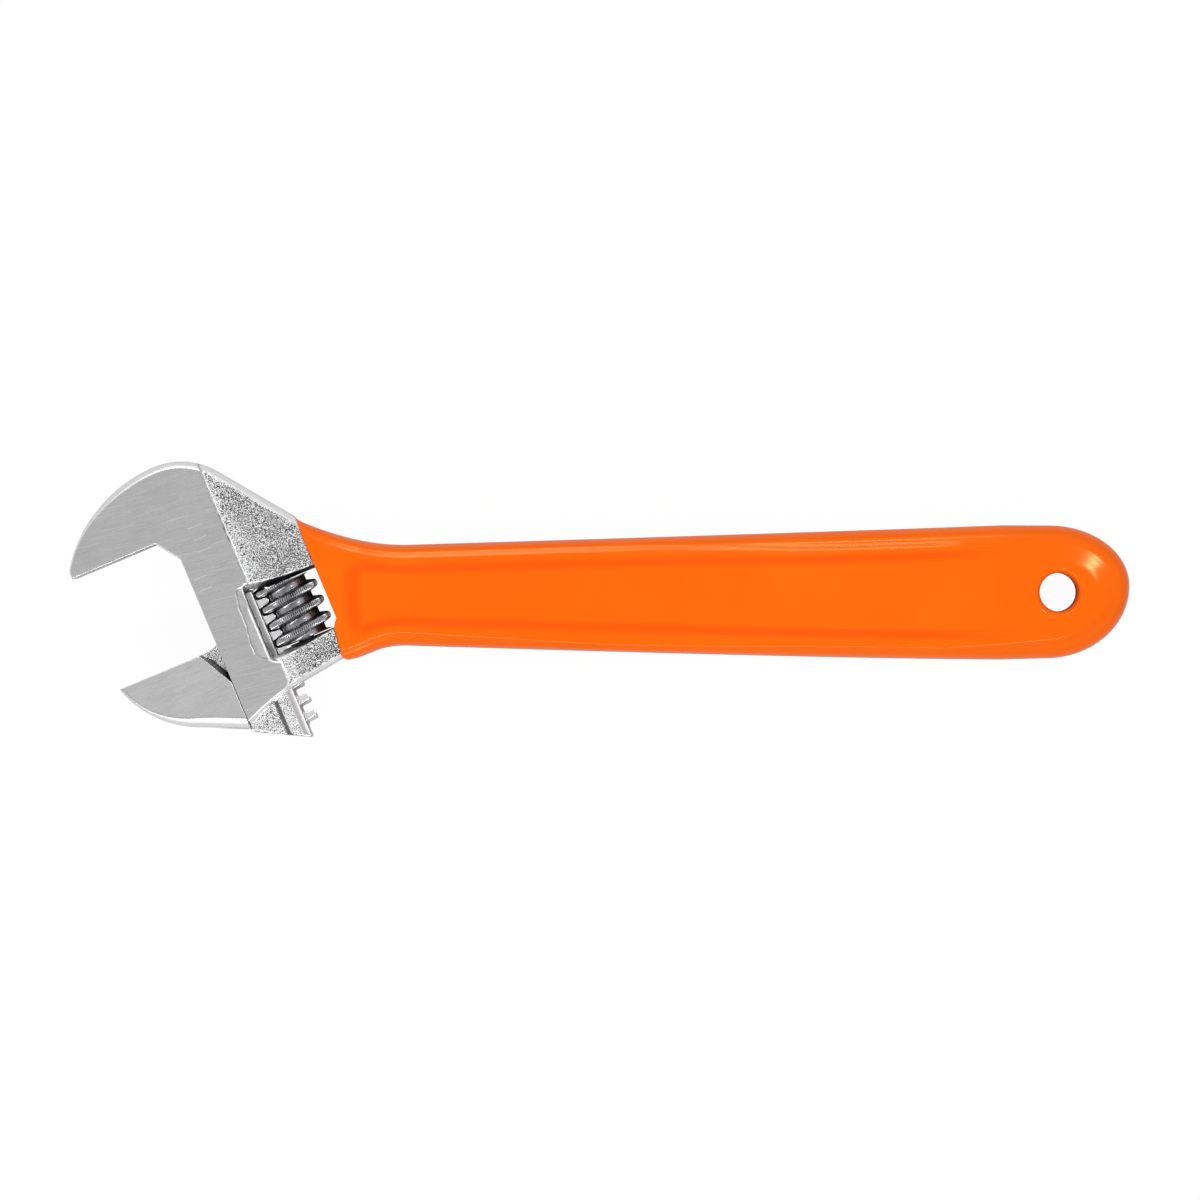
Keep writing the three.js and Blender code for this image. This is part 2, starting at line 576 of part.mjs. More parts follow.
// The movable jaw: full-thickness cheeks, a web in the throat slot, a round shank in the bore and a
// rack whose teeth are hobbed to the worm, so that they curve round its core and its ridge.
function makeMovableJaw() {
  const gap = RUNNING_GAP;
  const cheekBlank = jawUnderside();
  cheekBlank.lineTo(RACK_TIP_X + BEYOND, MOVABLE_FACE + BEYOND);
  const cheeks = solidOf(roundedPlate(cheekBlank, HEAD_THICKNESS, JAW_RIM_WIDTH, RIM_DEPTH));
  const wall = THROAT_X - gap;
  const cheekLimits = plate(
    polygon(
      [-BIG, MOVABLE_FACE],
      [SHOULDER_X, MOVABLE_FACE],
      [wall, MOVABLE_FACE - SHOULDER_DROP],
      [wall, -BIG],
      [-BIG, -BIG],
    ),
    BIG,
  );

  const web = new THREE.Shape();
  web.moveTo(SHOULDER_X - CLEAR, -BIG);
  web.lineTo(SHANK_AXIS_X, -BIG);
  web.lineTo(SHANK_AXIS_X, SHANK_TOP);
  const filletY = MOVABLE_FACE + WEB_FILLET;
  const filletEnd = Math.asin(Math.min(1, (SHANK_TOP - filletY) / WEB_FILLET));
  web.absarc(SHOULDER_X, filletY, WEB_FILLET, filletEnd, -Math.PI / 2, true);
  web.lineTo(SHOULDER_X - CLEAR, MOVABLE_FACE);

  const shank = join(
    solidOf(roundBar(SHANK_RADIUS, -BIG, SHANK_TOP - TOP_CHAMFER, SHANK_AXIS_X)),
    solidOf(
      new THREE.CylinderGeometry(SHANK_RADIUS - TOP_CHAMFER, SHANK_RADIUS, TOP_CHAMFER, 36)
        .translate(SHANK_AXIS_X, SHANK_TOP - TOP_CHAMFER / 2, 0),
    ),
  );
  const flat = box(SHANK_FLAT_X, BIG, -BIG, BIG, -BIG, BIG);
  const bar = box(
    SHANK_AXIS_X, RACK_TIP_X, MOVABLE_FACE - RACK_FOOT, SHANK_TOP - TOP_CHAMFER, -RACK_WIDTH / 2, RACK_WIDTH / 2,
  );
  const turnsAt = (height) => (height - RIDGE_PHASE) / WORM_PITCH;
  const grooves = thread(
    ridgeSection(THREAD_GAP, gap), WORM_PITCH,
    turnsAt(MOVABLE_FACE - RACK_FOOT) - 1, turnsAt(SHANK_TOP) + 1, RIDGE_PHASE, 24,
  );
  const overCore = roundBar(WORM_CORE_RADIUS + gap, -BIG, BIG, 0, 48);
  const toothed = cut(join(cut(shank, solidOf(flat)), solidOf(bar)), solidOf(grooves), solidOf(overCore));

  const sliding = join(toothed, solidOf(plate(web, WEB_THICKNESS, 20)));
  const limits = jawUnderside();
  limits.lineTo(RACK_TIP_X + BEYOND, BIG);
  limits.lineTo(-BIG, BIG);
  limits.lineTo(-BIG, MOVABLE_FACE + BEYOND);
  const trimmed = sliding.intersect(solidOf(plate(limits, BIG, 14)));
  return join(cheeks.intersect(solidOf(cheekLimits)), trimmed);
}

// The worm: one right-hand ridge round a core, bored for its screw and counterbored for the spring.
function makeWorm() {
  const half = WORM_LENGTH / 2;
  const turnsAt = (height) => (height - RIDGE_PHASE) / WORM_PITCH;
  const ridge = thread(ridgeSection(0, 0), WORM_PITCH, turnsAt(-half) - 0.5, turnsAt(half) + 0.5, RIDGE_PHASE, 26);
  const hub = half - HUB_CHAMFER;
  const small = WORM_CORE_RADIUS - HUB_CHAMFER;
  const taper = (top, bottom) => new THREE.CylinderGeometry(top, bottom, HUB_CHAMFER, 48);
  const core = join(
    solidOf(roundBar(WORM_CORE_RADIUS, -hub, hub, 0, 48)),
    solidOf(taper(small, WORM_CORE_RADIUS).translate(0, half - HUB_CHAMFER / 2, 0)),
    solidOf(taper(WORM_CORE_RADIUS, small).translate(0, HUB_CHAMFER / 2 - half, 0)),
  );
  const ends = roundBar(WORM_RADIUS + CLEAR, -half, half, 0, 12);
  const threaded = join(core, solidOf(ridge)).intersect(solidOf(ends));
  const bore = roundBar(SCREW_RADIUS + RUNNING_GAP, -BIG, BIG, 0, 24);
  const seat = roundBar(SPRING_SEAT_RADIUS, half - SPRING_LENGTH - RUNNING_GAP, BIG, 0, 28);
  return cut(threaded, solidOf(bore), solidOf(seat));
}

// The slotted screw that carries the worm; it enters from the lower end of the head.
function makeWormScrew() {
  const bottom = screwHeadTop() - SCREW_HEAD_HEIGHT;
  const shaft = roundBar(SCREW_RADIUS, screwHeadTop() - CLEAR, HALF_WINDOW + SCREW_DEPTH, 0, 24);
  const head = roundBar(SCREW_HEAD_RADIUS, bottom, screwHeadTop(), 0, 28);
  const slot = box(-SLOT_WIDTH / 2, SLOT_WIDTH / 2, bottom - CLEAR, bottom + SLOT_DEPTH, -BIG, BIG);
  return cut(join(solidOf(shaft), solidOf(head)), solidOf(slot));
}

// The small compression spring round the screw, inside the worm.
function makeSpring() {
  const sides = 6;
  const section = [];
  for (let i = 0; i < sides; i += 1) {
    const angle = (i / sides) * 2 * Math.PI;
    section.push([SPRING_RADIUS + (SPRING_WIRE / 2) * Math.cos(angle), (SPRING_WIRE / 2) * Math.sin(angle)]);
  }
  const pitch = (SPRING_LENGTH - SPRING_WIRE) / SPRING_TURNS;
  const start = WORM_LENGTH / 2 - SPRING_LENGTH + SPRING_WIRE / 2;
  return solidOf(thread(section.reverse(), pitch, 0, SPRING_TURNS, start, 12));
}

// ---------------------------------------------------------------- assembly
const MATERIALS = {
  forged: { color: 0xc4c6c6, roughness: 0.34, metalness: 1 },
  jaw: { color: 0xbfc1c1, roughness: 0.36, metalness: 1 },
  worm: { color: 0x6d7074, roughness: 0.28, metalness: 1 },
  screw: { color: 0x8a8c8e, roughness: 0.4, metalness: 1 },
  spring: { color: 0x9c9ea0, roughness: 0.35, metalness: 1 },
  vinyl: { color: 0xff6a0e, roughness: 0.28, metalness: 0 },
};

function piece(name, solid, material) {
  const mesh = new THREE.Mesh(geometryOf(solid), new THREE.MeshStandardMaterial(MATERIALS[material]));
  mesh.name = name;
  return mesh;
}

const handle = new THREE.Group();
handle.add(piece("body", makeBody(), "forged"));
handle.add(piece("grip", makeGrip(), "vinyl"));

const head = new THREE.Group();
head.applyMatrix4(headToHandle);
head.add(piece("movable_jaw", makeMovableJaw(), "jaw"));
head.add(piece("worm", makeWorm(), "worm"));
head.add(piece("worm_screw", makeWormScrew(), "screw"));
head.add(piece("worm_spring", makeSpring(), "spring"));
handle.add(head);

// The wrench lies on its side. Its origin is the middle of its footprint on the bench.
const wrench = new THREE.Group();
wrench.add(handle);
wrench.updateMatrixWorld(true);
const extent = new THREE.Box3().setFromObject(handle, true);
handle.position.set(-(extent.min.x + extent.max.x) / 2, -(extent.min.y + extent.max.y) / 2, -extent.min.z);

export default wrench;
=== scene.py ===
"""An adjustable wrench lying on a pale bench: ground and forged steel head, dark worm, dipped orange grip.

Lengths are millimetres unless a name ends in _m. The handle plan has its origin in the middle of the hanging
hole and X along the handle. The head plan has its origin in the middle of the worm, its X (u) along the jaw
faces towards the handle and its Y (v) the way that the jaw closes. Both have z = 0 on the forging's middle
plane.
"""

import json
import math

import bmesh
import bpy
import numpy as np
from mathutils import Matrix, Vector


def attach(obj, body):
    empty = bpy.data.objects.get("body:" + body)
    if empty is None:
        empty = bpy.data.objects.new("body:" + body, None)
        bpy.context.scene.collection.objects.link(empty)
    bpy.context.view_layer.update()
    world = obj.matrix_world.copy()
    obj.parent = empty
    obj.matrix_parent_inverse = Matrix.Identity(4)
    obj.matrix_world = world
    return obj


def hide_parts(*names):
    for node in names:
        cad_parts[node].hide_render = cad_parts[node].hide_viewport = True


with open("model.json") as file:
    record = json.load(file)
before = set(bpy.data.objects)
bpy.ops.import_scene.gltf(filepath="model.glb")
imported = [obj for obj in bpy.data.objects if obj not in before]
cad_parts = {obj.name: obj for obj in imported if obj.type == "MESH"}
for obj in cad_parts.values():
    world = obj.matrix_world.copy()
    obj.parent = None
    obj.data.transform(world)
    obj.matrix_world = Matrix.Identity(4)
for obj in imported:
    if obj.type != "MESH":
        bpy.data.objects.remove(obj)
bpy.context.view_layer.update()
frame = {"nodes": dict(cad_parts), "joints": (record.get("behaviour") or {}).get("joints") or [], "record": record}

MM = 0.001
joints = {joint["name"]: joint for joint in frame["joints"]}
mounts = {mount["name"]: mount for mount in frame["record"]["mounts"]}
worm_centre_m = np.array(joints["worm_spin"]["pos_m"])
hole_centre_m = np.array(mounts["hanging_hole"]["pos_m"])
closing = np.array(joints["jaw_slide"]["axis"])
along = np.array([closing[1], -closing[0], 0.0])
upward = np.array([0.0, 0.0, 1.0])
HEAD_ANGLE = math.atan2(along[1], along[0])

# sizes that the fine surfaces share with the solids
WINDOW_RIGHT = 8.9
GROUND_EDGE_X = -7.8
HALF_HEAD = 7.0
HOLE_RADIUS = 4.65
WORM_PITCH = 4.2
WORM_HALF = 7.3
WORM_RADIUS = 7.77
CORE_RADIUS = 5.5
RIDGE_PHASE = -0.98
SCREW_BORE = 2.3
TANG_HALF = 4.6
TICK_GAP = 3.05  # between the marks of the head's scale
TICK_GROUPS = ((-15.9, -12.4, 21.7, 27.8), (-19.4, -16.0, 12.8, 15.85))  # u from and to, first and last v


# -------- plans
def turned_to_row(vectors):
    """Head plan vectors in the row frame's directions."""
    return vectors[..., :1] * along + vectors[..., 1:2] * closing + vectors[..., 2:] * upward


def head_to_row(points):
    """Head plan (u, v, z) in mm to the row frame in metres: centre + u along + v closing + z up."""
    return worm_centre_m + MM * turned_to_row(points)


def row_to_head(points_m):
    """Row frame in metres to the head plan in mm."""
    offset = (np.asarray(points_m, float) - worm_centre_m) / MM
    return np.stack([offset @ along, offset @ closing, offset @ upward], axis=-1)


def handle_to_row(points):
    """Handle plan (x, y, z) in mm to the row frame in metres."""
    return hole_centre_m + MM * np.asarray(points, float)


def head_to_handle(u, v):
    """Head plan coordinates, of one point or many, to the handle plan's x and y."""
    origin = (worm_centre_m - hole_centre_m) / MM
    return np.array([origin[k] + u * along[k] + v * closing[k] for k in (0, 1)])


def handle_to_head(plan):
    """Handle plan points (x, y) to the head plan's u and v."""
    return row_to_head(handle_to_row(np.concatenate([plan, 0 * plan[..., :1]], axis=-1)))[..., :2]


def smoothstep(low, high, x):
    """0 below low, 1 above high, and 3t^2 - 2t^3 between them."""
    t = np.clip((np.asarray(x, float) - low) / (high - low), 0.0, 1.0)
    return t * t * (3.0 - 2.0 * t)


# -------- camera
CAMERA_HEIGHT = 1700.0
HALF_VIEW = 145.27  # half the width that the camera sees of the middle plane
CAMERA_FROM_HOLE = (-110.8, -1.38)
CAMERA_ROLL = math.radians(0.27)
SENSOR = 36.0


def configured(thing, **properties):
    """The thing with those properties set."""
    for name, value in properties.items():
        setattr(thing, name, value)
    return thing


def add_object(name, data):
    """A new object in the scene."""
    added = bpy.data.objects.new(name, data)
    bpy.context.scene.collection.objects.link(added)
    return added


camera = add_object("camera", bpy.data.cameras.new("camera"))
camera.location = handle_to_row([*CAMERA_FROM_HOLE, CAMERA_HEIGHT])
camera.rotation_euler = (0.0, 0.0, -CAMERA_ROLL)
lens = SENSOR / 2 * CAMERA_HEIGHT / HALF_VIEW
configured(camera.data, sensor_width=SENSOR, lens=lens, clip_start=0.05, clip_end=20.0)
bpy.context.scene.camera = camera
bpy.context.scene.view_settings.view_transform = "Standard"


# -------- node trees
class Nodes:
    """A node tree, with short ways to add to it. An input takes a number, a colour, a vector or an output."""

    def __init__(self, tree):
        self.tree = tree

    def feed(self, node_input, value):
        """Sets an input, or links an output into it."""
        if isinstance(value, (int, float)):
            node_input.default_value = value
        elif isinstance(value, tuple):
            node_input.default_value = (*value, 1.0)[: len(node_input.default_value)]
        else:
            self.tree.links.new(value, node_input)

    def node(self, kind, feeds, output=0, **properties):
        """One output of a new node that has those properties and inputs."""
        node = configured(self.tree.nodes.new(kind), **properties)
        for key, value in feeds.items():
            self.feed(node.inputs[key], value)
        return node.outputs[output]

    def sum(self, a, b, operation="ADD"):
        """The sum of two numbers, or another operation on them."""
        return self.node("ShaderNodeMath", {0: a, 1: b}, operation=operation)

    def multiply(self, product, *values):
        """The product of colours or vectors, part by part."""
        for value in values:
            product = self.node("ShaderNodeVectorMath", {0: product, 1: value}, operation="MULTIPLY")
        return product

    def curve(self, value, *stops):
        """Maps a 0 to 1 value through stops, each a position and a grey or a colour."""
        colour = self.node("ShaderNodeValToRGB", {"Fac": value})
        elements = colour.node.color_ramp.elements
        while len(elements) < len(stops):
            elements.new(0.5)
        for element, (position, tone) in zip(elements, stops):
            element.position = position
            element.color = (tone, tone, tone, 1.0) if np.isscalar(tone) else (*tone, 1.0)
        return colour

    def camera_mix(self, unseen, seen, share):
        """A shader that shows the camera this share of seen, and gives unseen to all other rays."""
        path = self.node("ShaderNodeLightPath", {}, "Is Camera Ray")
        return self.node("ShaderNodeMixShader", {0: self.sum(path, share, "MULTIPLY"), 1: unseen, 2: seen})


class Finish(Nodes):
    """A procedural material: a Principled shader and the few nodes that its pattern needs."""

    def __init__(self, name, colour, roughness, metallic):
        self.material = bpy.data.materials.new(name)
        self.material.use_nodes = True
        super().__init__(self.material.node_tree)
        self.set("Base Color", colour)
        self.set("Roughness", roughness)
        self.set("Metallic", metallic)
        self.object_coordinates = self.node("ShaderNodeTexCoord", {}, "Object")

    def set(self, name, value):
        """Feeds an input of the shader."""
        self.feed(self.tree.nodes["Principled BSDF"].inputs[name], value)

    def weight(self, name):
        """The mesh's own weight of that name, from 0 to 1."""
        return self.node("ShaderNodeAttribute", {}, "Fac", attribute_name=name)

    def head_coordinates(self, stretch=(1.0, 1.0, 1.0), turn=0.0):
        """Object coordinates turned into the head plan, then by turn, and stretched, in metres."""
        feeds = {0: self.object_coordinates, 1: tuple(worm_centre_m)}
        centred = self.node("ShaderNodeVectorMath", feeds, operation="SUBTRACT")
        feeds = {"Vector": centred, "Angle": -HEAD_ANGLE - turn}
        return self.multiply(self.node("ShaderNodeVectorRotate", feeds, rotation_type="Z_AXIS"), stretch)

    def noise(self, vector, size, detail=3.0, roughness=0.55, distortion=0.0):
        """Noise whose features are about size millimetres across, 0 to 1."""
        feeds = {"Vector": vector, "Scale": 1.0 / (size * MM), "Detail": detail}
        feeds.update({"Roughness": roughness, "Distortion": distortion})
        return self.node("ShaderNodeTexNoise", feeds, "Fac")

    def mix(self, share, a, b):
        """Colour a where share is 0, colour b where it is 1; 6, 7 and 2 are the node's colour sockets."""
        return self.node("ShaderNodeMix", {0: share, 6: a, 7: b}, 2, data_type="RGBA")

    def ranged(self, value, low, high, at_low=0.0, at_high=1.0):
        """A length in metres from low to high millimetres, mapped to at_low and at_high and held there."""
        return self.node("ShaderNodeMapRange", {0: value, 1: low * MM, 2: high * MM, 3: at_low, 4: at_high})

    def scale_marks(self, head):
        """1 on the thin graduation lines of the head's scale, three on its right and two on its left.

        The lines stand where v, counted from the first line, is a multiple of their gap.
        """
        groups = []
        for low, high, first, last in TICK_GROUPS:
            height = self.sum(head["Y"], (first - 20 * TICK_GAP) * MM, "SUBTRACT")
            from_line = self.sum(height, TICK_GAP / 2 * MM, "PINGPONG")
            groups.append(self.multiply(
                self.ranged(head["X"], low, low + 0.15),
                self.ranged(head["X"], high, high + 0.15, 1.0, 0.0),
                self.ranged(head["Y"], first - 0.5, first - 0.4),
                self.ranged(head["Y"], last + 0.4, last + 0.5, 1.0, 0.0),
                self.ranged(from_line, 0.05, 0.13, 1.0, 0.0),
            ))
        return self.sum(*groups)

    def bump(self, height, depth, strength=1.0, **under):
        """Bump of depth millimetres for a 0 to 1 height, on the Normal under it."""
        feeds = {"Strength": strength, "Distance": depth * MM, "Height": height, **under}
        normal = self.node("ShaderNodeBump", feeds)
        self.set("Normal", normal)
        return normal


# -------- finishes
def plated_steel(name, slant, tone_at, marked):
    """The head's finishes in one, blended by height and by the mesh's own weights.

    Ground: streaks of tone_at grey along the grinding direction, which slants from the jaw faces, wherever
    the surface stands at full thickness. Forged: bright grains and dark pits of about a quarter of a
    millimetre, paler near the ground strip. Rims: tumbled smooth and pale. Lip: worn smooth, a little darker.
    Machined: fine cutter lines on the milled walls. Painted shade: nearly black, painted in the corners and along
    edges where shade falls. A marked piece has the scale's lines, paler than the ground strip.
    """
    finish = Finish(name, (0.6, 0.6, 0.6), 0.34, 1.0)
    head = finish.node("ShaderNodeSeparateXYZ", {0: finish.head_coordinates()}).node.outputs
    ground = finish.ranged(finish.sum(head["Z"], 0.0, "ABSOLUTE"), 6.88, 6.97)
    streaks = finish.noise(finish.head_coordinates((0.035, 1.0, 0.2), slant), 0.22, 5.0, 0.7)
    scratches = finish.noise(finish.head_coordinates((0.02, 1.0, 0.2), slant + 0.12), 0.16, 2.0, 0.5)
    bright_cuts = finish.noise(finish.head_coordinates((0.016, 1.0, 0.2), slant - 0.05), 0.3, 3.0, 0.5, 0.4)
    clouds = finish.noise(finish.object_coordinates, 9.0, 3.0)
    fine = finish.noise(finish.object_coordinates, 0.3, 2.0, 0.6)
    tone = finish.multiply(
        finish.curve(streaks, (0.25, tone_at - 0.06), (0.5, tone_at), (0.78, tone_at + 0.08)),
        finish.curve(scratches, (0.27, 0.75), (0.36, 1.0)),
        finish.curve(bright_cuts, (0.63, 1.0), (0.70, 1.2)),
        finish.curve(clouds, (0.3, 0.97), (0.7, 1.03)),
        finish.curve(fine, (0.3, 0.93), (0.7, 1.06)),
    )
    if marked:
        marks = finish.sum(finish.scale_marks(head), 0.6, "MULTIPLY")
        tone = finish.mix(marks, tone, (0.93, 0.93, 0.93))
    grain = finish.noise(finish.object_coordinates, 0.25, 1.5, 0.5, 0.3)
    coarse = finish.noise(finish.object_coordinates, 6.0, 2.0, 0.5)
    near_ground = finish.ranged(head["X"], -7.5, -2.0, 0.06, -0.012)
    shift = finish.sum(finish.sum(finish.sum(coarse, 0.5, "SUBTRACT"), 0.14, "MULTIPLY"), near_ground)
    skin = finish.curve(finish.sum(grain, shift), (0.406, 0.06), (0.473, 0.25), (0.523, 0.70), (0.583, 0.96))
    mottle = finish.noise(finish.object_coordinates, 1.6, 4.0, 0.6)
    satin = finish.curve(mottle, (0.3, 0.90), (0.7, 0.99))
    lines = finish.noise(finish.head_coordinates((0.25, 1.0, 0.05)), 0.18, 3.0, 0.6)
    milled = finish.curve(lines, (0.3, 0.50), (0.7, 0.78))
    worn = finish.curve(mottle, (0.3, 0.55), (0.5, 0.68), (0.7, 0.78))

    forged, machined, lip, painted_shade = (finish.weight(name) for name in ("forged", "machined", "lip", "painted_shade"))
    colour = finish.mix(ground, satin, tone)
    colour = finish.mix(forged, colour, skin)
    colour = finish.mix(lip, colour, worn)
    colour = finish.mix(machined, colour, milled)
    # Painted shade: where its weight is high, the colour is darkened to nearly black in corners and along edges.
    finish.set("Base Color", finish.mix(painted_shade, colour, (0.07, 0.07, 0.072)))
    rough = finish.mix(ground, (0.32, 0.32, 0.32), (0.37, 0.37, 0.37))
    finish.set("Roughness", finish.mix(forged, rough, (0.30, 0.30, 0.30)))
    cut = finish.bump(streaks, 0.010, 0.5)
    rough_skin = finish.sum(forged, finish.sum(lip, 0.06, "MULTIPLY"), "MAXIMUM")
    finish.bump(finish.multiply(grain, rough_skin), 0.12, Normal=cut)
    return finish.material


def worm_steel():
    """Hardened and oiled worm steel, dark and polished, with handling marks and crests worn bright."""
    finish = Finish("worm_steel", (0.13, 0.135, 0.145), 0.24, 1.0)
    marks = finish.noise(finish.object_coordinates, 1.2, 4.0, 0.65)
    spots = finish.noise(finish.object_coordinates, 2.6, 1.0, 0.4)
    darkened = finish.curve(marks, (0.32, (0.18, 0.18, 0.19)), (0.72, (0.42, 0.42, 0.43)))
    darkened = finish.multiply(darkened, finish.curve(spots, (0.30, 0.35), (0.38, 1.0)))
    finish.set("Base Color", finish.mix(finish.weight("worn"), darkened, (0.80, 0.80, 0.80)))
    finish.set("Roughness", finish.curve(marks, (0.3, 0.2), (0.75, 0.34)))
    finish.bump(marks, 0.02, 0.4)
    return finish.material


def turned_steel(name, grey):
    """Plain turned screw and spring steel, with fine rings."""
    finish = Finish(name, (grey, grey, grey), 0.36, 1.0)
    rings = finish.noise(finish.head_coordinates((0.1, 1.0, 0.1)), 0.25, 2.0)
    finish.set("Base Color", finish.curve(rings, (0.3, 0.75 * grey), (0.7, 1.2 * grey)))
    finish.bump(rings, 0.01, 0.5)
    return finish.material


def dipped_vinyl():
    """Glossy dipped vinyl: orange, uneven from the dip, with painted shade darkening the valley's slopes, finely
    pebbled.
    """
    finish = Finish("dipped_vinyl", (0.86, 0.125, 0.001), 0.16, 0.0)
    finish.set("Specular IOR Level", 0.25)
    finish.set("Specular Tint", (1.0, 0.85, 0.36))
    flow = finish.noise(finish.object_coordinates, 26.0, 3.0, 0.5)
    orange = finish.curve(flow, (0.3, (0.815, 0.110, 0.0005)), (0.7, (0.840, 0.124, 0.0010)))
    # Painted shade: the orange is darker on the valley's slopes, where the slope weight is high.
    finish.set("Base Color", finish.mix(finish.weight("slope"), orange, (0.82, 0.084, 0.0008)))
    peel = finish.noise(finish.object_coordinates, 1.5, 2.0)
    finish.bump(peel, 0.012, 0.35)
    return finish.material


HEAD_STEEL = plated_steel("head_steel", -0.14, 0.59, True)
JAW_STEEL = plated_steel("jaw_steel", 0.04, 0.65, False)
WORM_STEEL = worm_steel()
SCREW_STEEL = turned_steel("screw_steel", 0.42)
SPRING_STEEL = turned_steel("spring_steel", 0.5)
VINYL = dipped_vinyl()


# -------- meshes
WELD_M = 2e-7


def new_piece(mesh, material, body, node):
    """Links a finished mesh at the origin, in the place of its CAD node, and lets it ride on its body."""
    piece = add_object(mesh.name, mesh)
    mesh.materials.append(material)
    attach(piece, body)
    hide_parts(node)
    return piece


def add_weights(mesh, weights):
    """Gives the mesh named weights, one number per point each."""
    for name, values in weights.items():
        mesh.attributes.new(name, "FLOAT", "POINT").data.foreach_set("value", values.astype(np.float32))


def mesh_of(name, points_m, faces, **weights):
    """A welded mesh of points in metres, with its weights per point, faces outwards and shaded smooth."""
    mesh = bpy.data.meshes.new(name)
    mesh.from_pydata(points_m.reshape(-1, 3).tolist(), [], faces)
    add_weights(mesh, weights)
    work = bmesh.new()
    work.from_mesh(mesh)
    bmesh.ops.remove_doubles(work, verts=work.verts, dist=WELD_M)
    bmesh.ops.dissolve_degenerate(work, edges=work.edges, dist=WELD_M)
    bmesh.ops.recalc_face_normals(work, faces=work.faces)
    work.to_mesh(mesh)
    work.free()
    mesh.shade_smooth()
    return mesh


def grid_faces(rows, columns, start=0, wrap=False):
    """Quads of a rows by columns grid from vertex start on; wrap joins its last column to its first."""
    i = np.arange(rows - 1)[:, None]
    j = np.arange(columns if wrap else columns - 1)[None, :]
    k = (j + 1) % columns
    corners = [i * columns + j, i * columns + k, (i + 1) * columns + k, (i + 1) * columns + j]
    return start + np.stack(np.broadcast_arrays(*corners), axis=-1).reshape(-1, 4)


def strip(low, high):
    """Quads between two equally long rows of vertex numbers."""
    return np.stack([low[:-1], low[1:], high[1:], high[:-1]], axis=-1)


# -------- outline of the grip
WAIST_X, WAIST_HALF = -157.8, 12.2
BELLY_X, BELLY_HALF = -13.8, 16.25
END_TIP = (17.4, 1.5)
END_OVER, END_UNDER = (-2.1, 16.15), (-2.8, -16.0)  # the end is two quarter ellipses from here to the tip
BULGE_SHARE, FULL_OVER, FULL_UNDER = 0.72, 0.66, 0.92
LEAD_OVER, LEAD_UNDER = (8.9, 20.5), (6.8, -16.4)  # corners of the leading edge, head plan
LEAD_EDGE = np.array([
    (-16.6, 6.45), (-14.6, 6.5), (-8.5, 7.4), (-7.6, 7.6), (-6.9, 7.95), (-6.3, 8.45), (-5.7, 8.9), (30, 8.9)
])  # v and u up the leading edge
LEAD_LOW_RADIUS = 2.0
LEAD_TOP, LEAD_TOP_RUN, LEAD_TOP_LEAN = 19.3, 0.79, 0.37
LEAD_ROUND, LEAD_INSET = (0.05, 0.28), (0.9, 0.75)  # the rows that close it: how far along and below the skin
RING_X = -14.0  # the ring round the hole starts here
GRIP_HALF = 6.48
RIM_WIDTH = 2.3
SHOULDER_STEP = 0.95  # the last of the rim's rise, gentler than its rounded edge
VALLEY_DEPTH = 0.62
HOLE_ROLL = 1.6


def bezier(points, count):
    """Points of a Bezier curve of any degree: the sum of its control points weighted by Bernstein terms."""
    points = np.asarray(points, float)
    degree = len(points) - 1
    t = np.linspace(0.0, 1.0, count)[:, None]
    terms = [math.comb(degree, k) * (1 - t) ** (degree - k) * t**k for k in range(degree + 1)]
    return sum(term * point for term, point in zip(terms, points))


def flank(side, corner, way, fillet, run, fullness):
    """One edge of the grip from its leading corner to the tip of its rounded end, as points.

    It leaves the corner at way degrees, runs level through the waist, swells to the belly by its fullness and
    ends as a quarter ellipse. The lengths fillet and run are those of the neck curve's two handles.
    """
    start = head_to_handle(*corner)
    towards = start + fillet * np.array([math.cos(math.radians(way)), math.sin(math.radians(way))])
    waist = np.array([WAIST_X, side * WAIST_HALF])
    neck = bezier([start, towards, waist - [run, 0.0], waist], 80)
    belly = np.array([BELLY_X, side * BELLY_HALF])
    bulge = waist + [BULGE_SHARE * (BELLY_X - WAIST_X), side * fullness * (BELLY_HALF - WAIST_HALF)]
    long_edge = bezier([waist, bulge, belly], 160)
    end_start = np.array(END_OVER if side > 0 else END_UNDER)
    angle = np.linspace(np.pi / 2, 0.0, 90)
    centre, reach = (end_start[0], END_TIP[1]), (END_TIP[0] - end_start[0], end_start[1] - END_TIP[1])
    end = np.array(centre) + np.array(reach) * np.stack([np.cos(angle), np.sin(angle)], axis=-1)
    joining = bezier([belly, end_start], 16)
    return np.concatenate([neck[:-1], long_edge, joining[1:-1], end])


def lead_u(v):
    """Where the grip's leading edge stands at height v: along the window, stepped forward below it.

    The lower corner is round: at a height d above it, less than the radius r, the edge stands back by
    r - sqrt(r^2 - (r - d)^2). Near the upper corner it leans back by the square of the height past its start.
    """
    short = LEAD_LOW_RADIUS - np.clip(v - LEAD_UNDER[1], 0.0, LEAD_LOW_RADIUS)
    low_round = LEAD_LOW_RADIUS - np.sqrt(np.maximum(LEAD_LOW_RADIUS**2 - short**2, 0.0))
    top_lean = LEAD_TOP_LEAN * np.clip((v - LEAD_TOP) / LEAD_TOP_RUN, 0.0, 1.5) ** 2
    return np.interp(v, *LEAD_EDGE.T) + low_round + top_lean


edge_over = flank(1, LEAD_OVER, -25.0, 7.0, 11.5, FULL_OVER)
edge_under = flank(-1, LEAD_UNDER, 12.0, 5.0, 7.0, FULL_UNDER)


# -------- smooth solids
def rounded_max(a, b, radius):
    """Where both a and b are inside. Their shared edge is a quarter round of that radius."""
    corner = np.hypot(np.maximum(a + radius, 0.0), np.maximum(b + radius, 0.0))
    return np.minimum(np.maximum(a, b), -radius) + corner


def rounded_min(a, b, radius):
    """Where either a or b is inside, with a fillet of that radius between them."""
    return -rounded_max(-a, -b, radius)


RIM_CUT = 0.5


